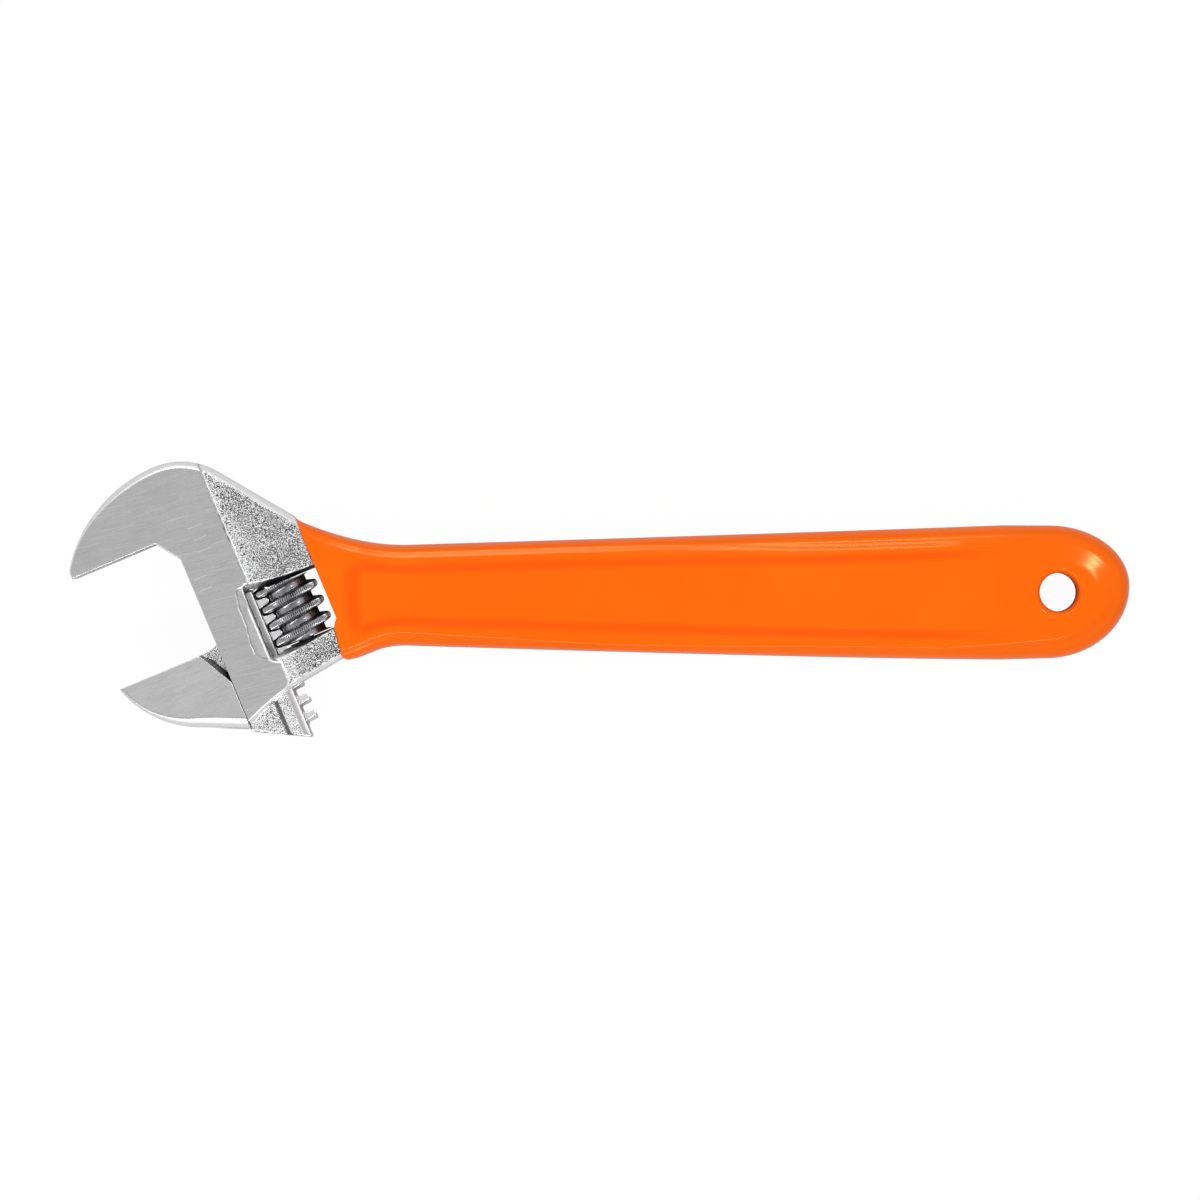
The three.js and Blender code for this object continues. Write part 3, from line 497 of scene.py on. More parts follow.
def rim(side, top, width, depth):
    """Inside both, their edge rounded as a quarter ellipse that the flat side cuts off.

    The ellipse stands RIM_CUT above the flat and is as deep as depth. It is as wide as it takes for the flat
    to start width inside the contour, so flat and rim meet in a crisp line.
    """
    half_axis = width / (1.0 - np.sqrt(1.0 - (1.0 - RIM_CUT / depth) ** 2))
    rounded = rounded_max(side / half_axis, (top - RIM_CUT) / depth, 1.0) * np.minimum(half_axis, depth)
    return rounded_max(rounded, top, 0.1)


def half_plane(u, v, point, way):
    """Signed distance from the line through point along way (u, v), positive on its left."""
    length = math.hypot(*way)
    return (-(u - point[0]) * way[1] + (v - point[1]) * way[0]) / length


def steps(*stretches):
    """Grid lines through (from, to, spacing) stretches that follow on from each other."""
    lines = [np.linspace(a, b, max(2, int(round((b - a) / gap)) + 1))[:-1] for a, b, gap in stretches]
    return np.concatenate(lines + [[stretches[-1][1]]])


STEP_LIMIT = 0.15


def surface_net(field, axes):
    """The closed quad surface field = 0 on a grid of lines.

    Each cell whose corners differ in sign gets one vertex, the mean of its edges' zero crossings. Each grid
    edge that changes sign gets the quad of its four cells. Three Newton steps, p - F grad F / |grad F|^2,
    then set every vertex on the surface. Returns points, quads and unit normals.
    """
    lattice = np.stack(np.meshgrid(*axes, indexing="ij"), axis=-1)
    values = field(*np.moveaxis(lattice, -1, 0))
    inside = values < 0.0
    sides = (slice(0, -1), slice(1, None))
    filled = sum(inside[a, b, c].astype(np.int8) for a in sides for b in sides for c in sides)
    mixed = (filled > 0) & (filled < 8)
    number = np.full(mixed.shape, -1)
    number[mixed] = np.arange(mixed.sum())
    cell = np.stack(np.nonzero(mixed), axis=-1)

    unit = np.eye(3, dtype=int)
    total, crossings = np.zeros((len(cell), 3)), np.zeros(len(cell))
    for axis, far, near in np.ndindex(3, 2, 2):
        start = cell + near * unit[(axis + 1) % 3] + far * unit[(axis + 2) % 3]
        start, end = tuple(start.T), tuple((start + unit[axis]).T)
        f0, f1 = values[start], values[end]
        crossed = (f0 < 0) != (f1 < 0)
        share = np.where(crossed, f0 / np.where(crossed, f0 - f1, 1.0), 0.0)[:, None]
        place = lattice[start] * (1 - share) + lattice[end] * share
        total += np.where(crossed[:, None], place, 0.0)
        crossings += crossed
    points = total / crossings[:, None]

    quads = []
    for axis in range(3):
        order = (axis, (axis + 1) % 3, (axis + 2) % 3)
        sign, cells = np.transpose(inside, order), np.transpose(number, order)
        i, j, k = np.nonzero(sign[:-1, 1:-1, 1:-1] != sign[1:, 1:-1, 1:-1])
        around = ((0, 0), (1, 0), (1, 1), (0, 1))
        quad = np.stack([cells[i, j + b, k + c] for b, c in around], axis=-1)
        outward = sign[i, j + 1, k + 1]
        quads.append(np.where(outward[:, None], quad, quad[:, ::-1]))

    def slope(p):
        """The field's gradient, from central differences."""
        nudge = 0.01
        rises = [field(*(p + nudge * way).T) - field(*(p - nudge * way).T) for way in unit]
        return np.stack(rises, axis=-1) / (2 * nudge)

    for _ in range(3):
        gradient = slope(points)
        steepness = np.maximum((gradient**2).sum(-1), 0.05)
        step = field(*points.T)[:, None] * gradient / steepness[:, None]
        points = points - np.clip(step, -STEP_LIMIT, STEP_LIMIT)
    gradient = slope(points)
    normals = gradient / np.maximum(np.linalg.norm(gradient, axis=-1, keepdims=True), 1e-9)
    return points, np.concatenate(quads), normals


def steel_shell(name, field, axes, finish_of):
    """The surface net of a head plan field as a mesh with exact normals and its finish weights."""
    points, quads, normals = surface_net(field, axes)
    mesh = bpy.data.meshes.new(name)
    mesh.from_pydata(head_to_row(points).tolist(), [], quads.tolist())
    add_weights(mesh, finish_of(points, normals))
    mesh.shade_smooth()
    mesh.normals_split_custom_set_from_vertices(turned_to_row(normals).tolist())
    return mesh


# -------- steel head
FIXED_FACE, THROAT, FACE_END, RELIEF = 27.5, -20.3, -24.5, 5.8
JAW_TIP = -46.3
BACK_CENTRE, BACK_RADIUS = (-17.7, 10.6), 34.28
SHOULDER_CENTRE, SHOULDER_RADIUS, SHOULDER_FALL = (-17.7, 27.9), 16.98, math.radians(53)
WINDOW_LEFT, HALF_WINDOW = -8.6, 7.6
FLARE_START, FLARE_RUN = 3.5, 4.5
SHANK_AXIS, SHANK_RADIUS, SLIDE_GAP = -9.25, 4.8, 0.3
MOVABLE_FACE = -1.5
WEB_HALF, WEB_ARC, SHOULDER_X = 2.8, 10.95, -25.0
SHANK_RISE = 10.05
RACK_HALF, RACK_TIP = 3.6, -4.35


def above_head(u, v):
    """Signed distance from the head's upper contour: back circle, shoulder circle, then the straight neck."""
    back = np.hypot(u - BACK_CENTRE[0], v - BACK_CENTRE[1]) - BACK_RADIUS
    across, up = u - SHOULDER_CENTRE[0], v - SHOULDER_CENTRE[1]
    shoulder = np.hypot(across, up) - SHOULDER_RADIUS
    fall = (math.sin(SHOULDER_FALL), math.cos(SHOULDER_FALL))
    neck = across * fall[0] + up * fall[1] - SHOULDER_RADIUS
    past = across * fall[1] - up * fall[0] > 0
    return np.where(across < 0, back, np.where(past, neck, shoulder))


def below_head(u, v):
    """Signed distance from the head's lower contour: two lines with a fillet at the heel."""
    foot = -half_plane(u, v, (0.0, -16.2), (1.0, 0.13))
    heel = -half_plane(u, v, (-8.5, -17.305), (1.0, 0.37))
    return rounded_min(foot, heel, 0.5)


def window_hole(u, v, z):
    """The window: straight in the middle, its ends and left side widening towards both faces."""
    flare = np.clip((np.abs(z) - FLARE_START) / FLARE_RUN, 0.0, 1.0)
    upper = v - HALF_WINDOW - np.interp(u, [-9.0, 1.0, 9.0], [3.6, 1.5, 1.0]) * flare
    lower = -v - HALF_WINDOW - np.interp(u, [-9.0, 0.0, 8.0], [3.0, 2.0, 0.2]) * flare
    left = WINDOW_LEFT - 0.9 * flare - u
    right = u - WINDOW_RIGHT - 0.6
    return rounded_max(rounded_max(upper, right, 0.9), rounded_max(lower, left, 1.6), 1.0)


def lip_share(u, v):
    """1 on the worn lip left of the window, 0 off it; its edge wanders."""
    wander = 0.16 * np.sin(0.8 * v + 0.6) + 0.08 * np.sin(2.1 * v) + 0.06 * np.sin(1.9 * u + 1.0)
    left = -12.2 + 0.1 * v - u + wander
    lower = -v - 10.0 - 0.6 * (u + 8.0) + 0.5 * wander
    upper = v - HALF_WINDOW - 2.2
    inside = rounded_max(rounded_max(left, lower, 1.5), np.maximum(upper, u + 6.0), 0.6)
    return 1.0 - smoothstep(-0.5, 0.35, inside)


def line(value, middle, width):
    """1 where value is middle, falling off as exp(-x^2) with width."""
    return np.exp(-(((value - middle) / width) ** 2))


def ground_edge(u, v):
    """How far a point lies past the ground strip's edge: straight, then rounded off round the lower end."""
    wander = 0.05 * np.sin(0.9 * v) + 0.03 * np.sin(2.3 * v + 2.0)
    return rounded_max(u - GROUND_EDGE_X + wander, below_head(u, v) + 0.9, 3.0)


def head_half(u, v):
    """Half thickness of the forging: ground, then let down to the forged skin, then thinner towards the tang.

    The lip is let down too, and is worn less deep away from the window.
    """
    forged = np.interp(u, [GROUND_EDGE_X + 0.35, WINDOW_RIGHT, 13.0], [6.65, 6.0, TANG_HALF])
    down = np.maximum(smoothstep(-0.1, 0.7, ground_edge(u, v)), lip_share(u, v))
    worn = 0.25 * lip_share(u, v) * smoothstep(-8.0, -11.0, u)
    return HALF_HEAD - down * (HALF_HEAD - forged - worn * (u < GROUND_EDGE_X))


def tang(u, v, z):
    """The tang inside the grip: the grip's outline moved in, flat with rounded edges, open at the hole."""
    x, y = head_to_handle(u, v)
    inset = 1.9 + 1.6 * smoothstep(-30.0, -4.0, x)
    over = np.interp(x, edge_over[:, 0], edge_over[:, 1]) - inset
    under = np.interp(x, edge_under[:, 0], edge_under[:, 1]) + inset
    end = np.hypot(x + 3.0, y) - 15.5 - np.maximum(-3.0 - x, 0.0)
    hole = HOLE_RADIUS + 1.5 - np.hypot(x, y)
    return rounded_max(np.max([y - over, under - y, end, 5.0 - u, hole], axis=0), np.abs(z) - TANG_HALF, 1.5)


def above_web(u, rise):
    """Signed distance above the web's top, rise being the height over its face: level, then a hollow arc."""
    return np.where(u > SHOULDER_X, WEB_ARC - np.hypot(u - SHOULDER_X, rise - WEB_ARC), rise)


def channel(u, v, z):
    """Space for the sliding jaw: a bore for its shank, a slot for its web and a slot for its rack."""
    top = v - (FIXED_FACE + SHANK_RISE + SLIDE_GAP)
    bore = np.hypot(u - SHANK_AXIS, z) - SHANK_RADIUS - SLIDE_GAP
    slot = np.maximum(np.abs(z) - WEB_HALF - SLIDE_GAP, np.maximum(u - SHANK_AXIS, SHOULDER_X - 0.3 - u))
    slot = np.maximum(slot, above_web(u, v - FIXED_FACE) - SLIDE_GAP)
    rack = np.maximum(np.abs(z) - RACK_HALF - SLIDE_GAP, np.maximum(SHANK_AXIS - u, u - RACK_TIP - SLIDE_GAP))
    return np.maximum(np.minimum(np.minimum(bore, slot), rack), top)


def screw_hole(u, v, z):
    """The worm screw's hole and its counterbore in the lower end of the head."""
    across = np.hypot(u, z)
    hole = np.maximum(across - SCREW_BORE, v - HALF_WINDOW - 5.7)
    return np.minimum(hole, np.maximum(across - 3.5, v + 13.3))


def mouth(u, v):
    """The space between the jaws: under the fixed face, past the relief and left of the throat."""
    relief = half_plane(u, v, (FACE_END, FIXED_FACE), (THROAT - FACE_END, -RELIEF))
    return np.maximum(np.maximum(v - FIXED_FACE, relief), u - THROAT)


def body_field(u, v, z):
    """The forging: head, neck and tang, less the mouth, window, channel and screw hole."""
    top = np.abs(z) - head_half(u, v)
    width = 0.35 + 1.25 * smoothstep(-45.0, -24.0, u)
    upper = rim(above_head(u, v), top, width, 1.6 + 1.6 * smoothstep(-45.0, -30.0, u))
    solid = np.maximum(upper, rim(below_head(u, v), top, 1.3, 2.6))
    solid = rounded_max(solid, JAW_TIP - u, 0.4)
    solid = rounded_max(solid, u - np.minimum(lead_u(v), WINDOW_RIGHT) - 0.1, 0.2)
    solid = np.minimum(solid, tang(u, v, z))
    solid = rounded_max(solid, -mouth(u, v), 0.12 + 0.16 * smoothstep(20.0, 26.0, v))
    left = smoothstep(-4.0, -8.0, u) * smoothstep(6.5, 4.0, v)
    solid = rounded_max(solid, -window_hole(u, v, z), 0.3 + 0.6 * left)
    solid = rounded_max(solid, -channel(u, v, z), 0.25)
    return rounded_max(solid, -screw_hole(u, v, z), 0.25)


def body_finish(points, normals):
    """The forging's weights: forged skin, machined walls, the lip, and painted shade along its edges and corners.
    """
    u, v, z = points.T
    height, level = np.abs(z), np.abs(normals[:, 2])
    edge, hole, on_lip = ground_edge(u, v), window_hole(u, v, z), lip_share(u, v)
    wall = np.min(np.abs([hole, mouth(u, v), channel(u, v, z)]), axis=0)
    cut = (1.0 - smoothstep(0.02, 0.08, wall)) * (1.0 - smoothstep(0.45, 0.7, level))
    forged = smoothstep(0.8, 0.95, level) * smoothstep(-0.1, 0.1, edge)
    left = smoothstep(-7.6, -8.4, u) * smoothstep(9.5, 8.0, v)
    flare = smoothstep(0.35, -0.1, hole) * left
    lip = on_lip * smoothstep(-8.2, -9.0, u) * (1.0 - flare)
    # Painted shade: from v 18.5 to 30 the dark line along the ground strip's edge is at full strength and wavers
    # along its length.
    edge_shade_run = smoothstep(18.5, 21.0, v) * smoothstep(30.0, 28.0, v) * (0.75 + 0.25 * np.sin(2.1 * v))
    # Painted shade: a dark line just past the ground strip's edge, a dark line round the window's flared left side
    # near the faces, a dark line along the lip's wandering edge, and a darker band inside the window under its
    # upper wall.
    painted_shade = [
        line(edge, 0.15, 0.22) * np.maximum(edge_shade_run, 0.5 * smoothstep(8.5, 10.5, v)),
        0.85 * line(hole, 0.1, 0.3) * left * smoothstep(6.0, 6.4, height),
        2.4 * on_lip * (1.0 - on_lip) * smoothstep(-9.5, -10.5, u) * (level > 0.7),
        0.5 * line(v - HALF_WINDOW, 0.8, 1.2) * smoothstep(6.2, 5.8, height) * smoothstep(-9.5, -8.5, u)
        * (hole < 0.3),
    ]
    return {
        "machined": np.maximum(cut, flare),
        "forged": forged * (1.0 - flare) * (1.0 - lip),
        "lip": lip,
        "painted_shade": np.max(painted_shade, axis=0),
    }


def make_body():
    """The forging as one smooth shell, fine over the head and coarse along the hidden tang."""
    axes = (
        steps((-47.5, 10.5, 0.33), (10.5, 16.0, 0.6), (16.0, 196.0, 2.4)),
        steps((-80.0, -26.0, 2.4), (-26.0, -22.6, 0.6), (-22.6, 46.0, 0.33)),
        steps((-7.5, -3.3, 0.3), (-3.3, 3.3, 0.6), (3.3, 7.5, 0.3)),
    )
    mesh = steel_shell("wrench_body", body_field, axes, body_finish)
    new_piece(mesh, HEAD_STEEL, "handle_assembly", "body")


# -------- movable jaw
JAW_BACK_CENTRE, JAW_BACK_RADIUS = (-21.9, 5.9), 25.3
UNDERSIDE_START = (-31.4, -17.55)
CHEEK_FALL, SHANK_FALL = math.radians(24.4), math.radians(27.9)  # slopes of the underside
JAW_WALL, SHOULDER_FOOT = -20.42, -10.3
RACK_FOOT = MOVABLE_FACE - 25.55
CHEEK_LEAN = 0.9  # the cheek's shoulder leans out by this much down to the web


def below_jaw(u, v, fall=CHEEK_FALL):
    """Signed distance from the jaw's lower contour: round its back from the tip, then straight at fall."""
    across, up = u - JAW_BACK_CENTRE[0], v - JAW_BACK_CENTRE[1]
    back = np.hypot(across, up) - JAW_BACK_RADIUS
    straight = -half_plane(u, v, UNDERSIDE_START, (math.cos(fall), -math.sin(fall)))
    start = (UNDERSIDE_START[0] - JAW_BACK_CENTRE[0], UNDERSIDE_START[1] - JAW_BACK_CENTRE[1])
    past = across * -start[1] + up * start[0] > 0
    return np.where(past, straight, back)


def worm_groove(u, v, z):
    """Space swept by the worm's ridge and core, with their gaps: a helix about the worm's axis."""
    across = np.hypot(u, z)
    turn = np.arctan2(u, z) / (2 * np.pi)
    rise = v - RIDGE_PHASE - WORM_PITCH * turn
    rise = np.abs((rise + WORM_PITCH / 2) % WORM_PITCH - WORM_PITCH / 2)
    half = np.interp(across, [4.9, 7.2, 8.1], [1.3, 0.975, 0.82]) + 0.2
    ridge = rounded_max(rise - half, across - 8.1, 0.35)
    return np.minimum(ridge, across - 5.8)


def jaw_field(u, v, z):
    """The movable jaw: cheeks, web, round shank with a flat, and a hobbed rack.

    The cheeks' shoulder leans out towards the web. Below, the cheeks end at their own slope and the sliding
    parts at a steeper one; above, everything ends at the gripping face and a slope behind it.
    """
    under = below_jaw(u, v)
    top = np.abs(z) - HALF_HEAD
    lean = CHEEK_LEAN * np.clip((HALF_HEAD - np.abs(z)) / (HALF_HEAD - WEB_HALF), 0.0, 1.0)
    lean = lean * smoothstep(MOVABLE_FACE, MOVABLE_FACE - 2.2, v)
    shoulder = half_plane(
        u, v, (SHOULDER_X, MOVABLE_FACE), (JAW_WALL - SHOULDER_X, SHOULDER_FOOT - MOVABLE_FACE)
    ) - lean
    width = 0.4 + 2.0 * smoothstep(-46.0, -27.0, u)
    cheeks = rim(under, top, width, 1.6 + 1.8 * smoothstep(-46.0, -30.0, u))
    ends = rounded_max(v - MOVABLE_FACE, shoulder, 0.3)
    cheeks = rounded_max(cheeks, rounded_max(ends, u - JAW_WALL, 0.12), 0.15)

    shank_top = MOVABLE_FACE + SHANK_RISE
    web = [u - SHANK_AXIS, SHOULDER_X - 2.0 - u, above_web(u, v - MOVABLE_FACE), v - shank_top]
    web = rounded_max(np.max(web, axis=0), np.abs(z) - WEB_HALF, 0.35)
    shank = np.hypot(u - SHANK_AXIS, z) - SHANK_RADIUS
    shank = rounded_max(rounded_max(shank, v - shank_top, 0.7), u + 7.6, 0.2)
    bar = np.max([SHANK_AXIS - u, u - RACK_TIP, RACK_FOOT - v, v - shank_top + 0.15], axis=0)
    bar = rounded_max(bar, np.abs(z) - RACK_HALF, 0.25)
    bar = rounded_max(bar, -worm_groove(u, v, z), 0.2)
    shank = rounded_max(shank, -worm_groove(u, v, z), 0.2)
    sliding = np.minimum(rounded_min(web, shank, 0.7), bar)
    hem = np.maximum(below_jaw(u, v, SHANK_FALL), under - 2.0 * smoothstep(JAW_WALL - 0.3, JAW_WALL + 0.3, u))
    sliding = rounded_max(sliding, hem, 0.5)
    face = v - MOVABLE_FACE - 3.0 * np.maximum(u - SHOULDER_X + 0.5, 0.0)
    return np.maximum(rounded_min(cheeks, sliding, 0.5), face)


def jaw_finish(points, normals):
    """The jaw's weights: forged web, machined face, shoulder and bar, and painted shade on its steep walls and
    along its edges.
    """
    u, v, z = points.T
    height, level = np.abs(z), np.abs(normals[:, 2])
    forged = (1.0 - smoothstep(4.9, 5.2, height)) * smoothstep(-26.0, -25.5, u) * smoothstep(-9.2, -9.6, u)
    bar = (u > -9.4) & (u < -7.1)
    face = (normals[:, 1] > 0.8) & (u < -24.5)
    shoulder = ((normals[:, 0] > 0.5) & (u < -15.0)) | ((normals[:, 0] < -0.6) & (u > -14.5))
    shoulder = shoulder & (height > 2.9)
    # Painted shade: the bar's flat strip from u -9.4 to -7.4, above v -10.5, is darkened, more strongly below v
    # -3.
    darkened = smoothstep(-9.6, -9.2, u) * smoothstep(-7.2, -7.5, u) * smoothstep(-12.0, -10.5, v)
    rim_foot = -0.55 - 2.0 * smoothstep(-46.0, -27.0, u)
    # Painted shade: dark on the shoulder walls and the shank's steep side, a dark band along the shank's round,
    # the bar's flat darker in the window, and a line at the rim's foot on the lower jaw.
    painted_shade = [
        0.8 * shoulder,
        0.85 * line(u, -12.75, 0.5) * (height < 4.95),
        (0.4 + 0.35 * smoothstep(-3.0, -7.0, v)) * darkened,
        0.35 * line(below_jaw(u, v), rim_foot, 0.16) * (height > 6.8) * (u < -20.0),
    ]
    return {
        "machined": (bar | face | shoulder).astype(float),
        "forged": forged * smoothstep(0.1, 0.4, level),
        "painted_shade": np.max(painted_shade, axis=0),
    }


def make_jaw():
    """The movable jaw as one smooth shell."""
    axes = (
        steps((-47.2, -26.0, 0.34), (-26.0, -3.6, 0.27)),
        steps((-33.5, 9.2, 0.3)),
        steps((-7.5, -3.3, 0.3), (-3.3, 3.3, 0.4), (3.3, 7.5, 0.3)),
    )
    mesh = steel_shell("lower_jaw", jaw_field, axes, jaw_finish)
    new_piece(mesh, JAW_STEEL, "jaw", "movable_jaw")


# -------- worm, screw and spring
STATIONS = 4 * 84  # round the worm, four to each serration
SERRATION_DEPTH = 0.3


def ridge_profile():
    """Half-widths and radii of the ridge, from its lower foot over its rounded crest to its upper foot."""
    foot = [(2.1, 0.0), (1.45, 0.02), (1.27, 0.16), (1.2, 0.5)]  # with the height above the core
    crest = [(1.0, 1.05), (0.92, 0.72), (0.81, 0.43), (0.65, 0.22), (0.44, 0.09), (0.22, 0.02), (0.0, 0.0)]
    side = [(half, CORE_RADIUS + rise) for half, rise in foot]
    side += [(half, WORM_RADIUS - fall) for half, fall in crest]
    return np.array([(-half, radius) for half, radius in side] + side[-2::-1])


def make_worm():
    """The worm as one grid: angle round the screw by a closed section from end to end and back up the bore.

    In the half plane at each angle the ridges stand a pitch apart and climb by a pitch each turn. Points
    beyond an end are held at the end, at the ridge's radius there, so the ends are cut flat. The crests dip
    by the serrations' depth, four stations to each serration.
    """
    profile = ridge_profile()
    turns = np.arange(-4, 4)
    angle = np.linspace(0.0, 2 * np.pi, STATIONS + 1)[:, None]
    centre = (RIDGE_PHASE + WORM_PITCH * (turns + angle / (2 * np.pi)))[:, :, None]
    height = centre + profile[:, 0]
    held = np.clip(height, -WORM_HALF, WORM_HALF)
    radius = np.where(held == height, profile[:, 1], np.interp(held - centre, profile[:, 0], profile[:, 1]))
    wave = np.array([0.0, 0.5, 1.0, 0.5])[np.arange(STATIONS + 1) % 4]
    crest = smoothstep(WORM_RADIUS - 0.9, WORM_RADIUS - 0.35, radius)
    radius = radius - SERRATION_DEPTH * crest * wave[:, None, None]

    hub, chamfer = CORE_RADIUS - 0.35, 0.2
    seat, seat_floor = 3.3, WORM_HALF - 5.5
    inner = [
        (hub, WORM_HALF), (seat + chamfer, WORM_HALF), (seat, WORM_HALF - chamfer), (seat, seat_floor),
        (SCREW_BORE, seat_floor), (SCREW_BORE, chamfer - WORM_HALF), (SCREW_BORE + chamfer, -WORM_HALF),
        (hub, -WORM_HALF),
    ]
    inner_radius, inner_height = (np.tile(column, (STATIONS + 1, 1)) for column in zip(*inner))
    radius = np.concatenate([radius.reshape(STATIONS + 1, -1), inner_radius], axis=1)
    height = np.concatenate([held.reshape(STATIONS + 1, -1), inner_height], axis=1)
    points = np.stack([radius * np.sin(angle), height, radius * np.cos(angle)], axis=-1)
    faces = grid_faces(STATIONS + 1, points.shape[1], wrap=True).tolist()
    worn = smoothstep(WORM_RADIUS - 0.14, WORM_RADIUS - 0.06, radius).ravel()
    mesh = mesh_of("knurled_worm", head_to_row(points), faces, worn=worn)
    mesh.set_sharp_from_angle(angle=math.radians(50.0))
    new_piece(mesh, WORM_STEEL, "knurl", "worm")


def make_screw():
    """The worm's screw: a merged copy of its CAD node, flat facets joined and sharp edges rounded."""
    work = bmesh.new()
    work.from_mesh(frame["nodes"]["worm_screw"].data)
    bmesh.ops.remove_doubles(work, verts=work.verts, dist=3e-6)
    bmesh.ops.dissolve_limit(work, angle_limit=math.radians(0.3), verts=work.verts, edges=work.edges)
    mesh = bpy.data.meshes.new("slotted_screw")
    work.to_mesh(mesh)
    work.free()
    mesh.shade_smooth()
    piece = new_piece(mesh, SCREW_STEEL, "handle_assembly", "worm_screw")
    rounding = configured(piece.modifiers.new("edges", "BEVEL"), limit_method="ANGLE", width=0.15 * MM)
    configured(rounding, angle_limit=math.radians(28.0), segments=2, use_clamp_overlap=True)
    configured(piece.modifiers.new("flats", "WEIGHTED_NORMAL"), weight=60, keep_sharp=False)


def make_spring():
    """The spring: a round wire carried along a helix round the screw, its ends closed by flat caps."""
    wire, middle, turns, length = 0.35, 2.65, 5, 5.2
    rows, sides = 48 * turns + 1, 12
    turn = np.linspace(0.0, 2 * np.pi * turns, rows)[:, None]
    side = np.linspace(0.0, 2 * np.pi, sides, endpoint=False)[None, :]
    radius = middle + wire * np.cos(side)
    start = WORM_HALF - length + wire
    height = start + (length - 2 * wire) * turn / turn.max() + wire * np.sin(side)
    points = np.stack([radius * np.sin(turn), height, radius * np.cos(turn)], axis=-1)
    caps = [list(range(sides)), list(range((rows - 1) * sides, rows * sides))]
    faces = grid_faces(rows, sides, wrap=True).tolist() + caps
    mesh = mesh_of("compression_spring", head_to_row(points), faces)
    new_piece(mesh, SPRING_STEEL, "handle_assembly", "worm_spring")


# -------- grip
def distance_to(points, path):
    """Shortest distance from each point to a polyline, by projection on every segment."""
    start, step = path[:-1], np.diff(path, axis=0)
    length = np.maximum((step**2).sum(-1), 1e-12)
    nearest = []
    for batch in np.array_split(points, len(points) // 4000 + 1):
        offset = batch[:, None] - start
        share = np.clip((offset * step).sum(-1) / length, 0.0, 1.0)
        nearest.append(np.linalg.norm(offset - share[..., None] * step, axis=-1).min(1))
    return np.concatenate(nearest)


def grip_height(points):
    """Half thickness of the grip at plan points, and where they lie on the valley's slopes, from 0 to 1.

    With d the share of the rim's width crossed from the flank, the rounded edge rises as
    sqrt(1 - (1 - d)^2.2), and a shoulder, a smooth step that is widest round the upper end, adds the last of
    the height. The rim is narrower along the lower flank and wider towards the end. Inside it the surface
    sinks by smooth steps into a long shallow valley with a curved start behind the neck, which fades before
    the hole. At the hole the surface rolls in by a quarter round.
    """
    x, y = points.T
    from_over, from_under = distance_to(points, edge_over), distance_to(points, edge_under)
    narrow = np.interp(x, [-168.0, -110.0, -28.0, 4.0], [1.0, 0.45, 0.5, 1.0])
    depth = np.minimum(from_over, from_under / narrow)
    neck = 1.0 - smoothstep(WINDOW_RIGHT, WINDOW_RIGHT + 13.0, handle_to_head(points)[:, 0])
    spread = 1.0 + 1.05 * smoothstep(-105.0, -48.0, x) - 0.25 * neck
    crossed = np.clip(depth / (RIM_WIDTH * spread), 0.0, 1.0)
    rounded = (GRIP_HALF - SHOULDER_STEP + 0.1 * neck) * np.sqrt(1.0 - (1.0 - crossed) ** 2.2)
    foot, run = 1.5 * spread, 2.7 + 4.0 * smoothstep(-30.0, -2.0, x) * smoothstep(-4.0, 5.0, y)
    shoulder = SHOULDER_STEP * smoothstep(foot, foot + run, depth)

    start = smoothstep(-173.5, -167.5, x - 0.16 * np.maximum(np.abs(y) - 4.0, 0.0) ** 1.4)
    fade = 1.0 - smoothstep(-34.0, -6.0, x)
    inside = smoothstep(4.0, 7.8, np.minimum(from_over - 0.9 * (spread - 1.0), from_under))
    slope = 4.0 * inside * start * fade * np.maximum(1.0 - inside, 1.0 - start)
    short = HOLE_ROLL - np.clip(np.hypot(x, y) - HOLE_RADIUS, 0.0, HOLE_ROLL)
    roll = HOLE_ROLL - np.sqrt(np.maximum(HOLE_ROLL**2 - short**2, 0.0))
    return rounded + shoulder - VALLEY_DEPTH * inside * start * fade - roll, slope


def gathered(count, pull):
    """Numbers t from 0 to 1, drawn by pull from even spacing towards (1 - cos(pi t)) / 2."""
    t = np.linspace(0.0, 1.0, count)
    return (1.0 - pull) * t + pull * (1.0 - np.cos(np.pi * t)) / 2


def grip_stations(stations, across):
    """Plan points of the grip from its leading edge to the ring's start.

    Each station is a line from flank to flank, its points gathered towards both. The first one is the leading
    edge, and the next ones straighten out after it as exp(-x^2).
    """
    share = np.linspace(0.0, 1.0, stations)
    ends = []
    for edge, cut in ((edge_over, 0.5), (edge_under, 0.0)):
        first = edge[0, 0] + cut
        x = first + (RING_X - first) * share
        ends.append(np.stack([x, np.interp(x, *edge.T)], axis=-1)[:, None])
    t = gathered(across, 0.75)[:, None]
    plan = ends[0] * (1 - t) + ends[1] * t
    head = handle_to_head(plan)
    shift = (lead_u(head[..., 1]) - head[0, :, 0]) * np.exp(-((share * stations / 14.0) ** 2))[:, None]
    return plan + shift[..., None] * along[:2]


def grip_rings(last, rings):
    """Plan points round the hole: rings from its circle out to the last station and the rounded end."""
    over, under = (edge[edge[:, 0] >= RING_X] for edge in (edge_over, edge_under))
    end = np.concatenate([over, under[-2::-1]])
    turned = np.unwrap(np.arctan2(end[:, 1], end[:, 0]))
    wanted = np.linspace(math.atan2(*last[0, ::-1]), math.atan2(*last[-1, ::-1]), 160)[1:-1]
    end = np.stack([np.interp(-wanted, -turned, end[:, k]) for k in (0, 1)], axis=-1)
    outer = np.concatenate([last[::-1], end])
    heading = np.arctan2(outer[:, 1], outer[:, 0])
    inner = HOLE_RADIUS * np.stack([np.cos(heading), np.sin(heading)], axis=-1)
    s = gathered(rings, 0.5)[:, None, None]
    return inner * (1 - s) + outer * s


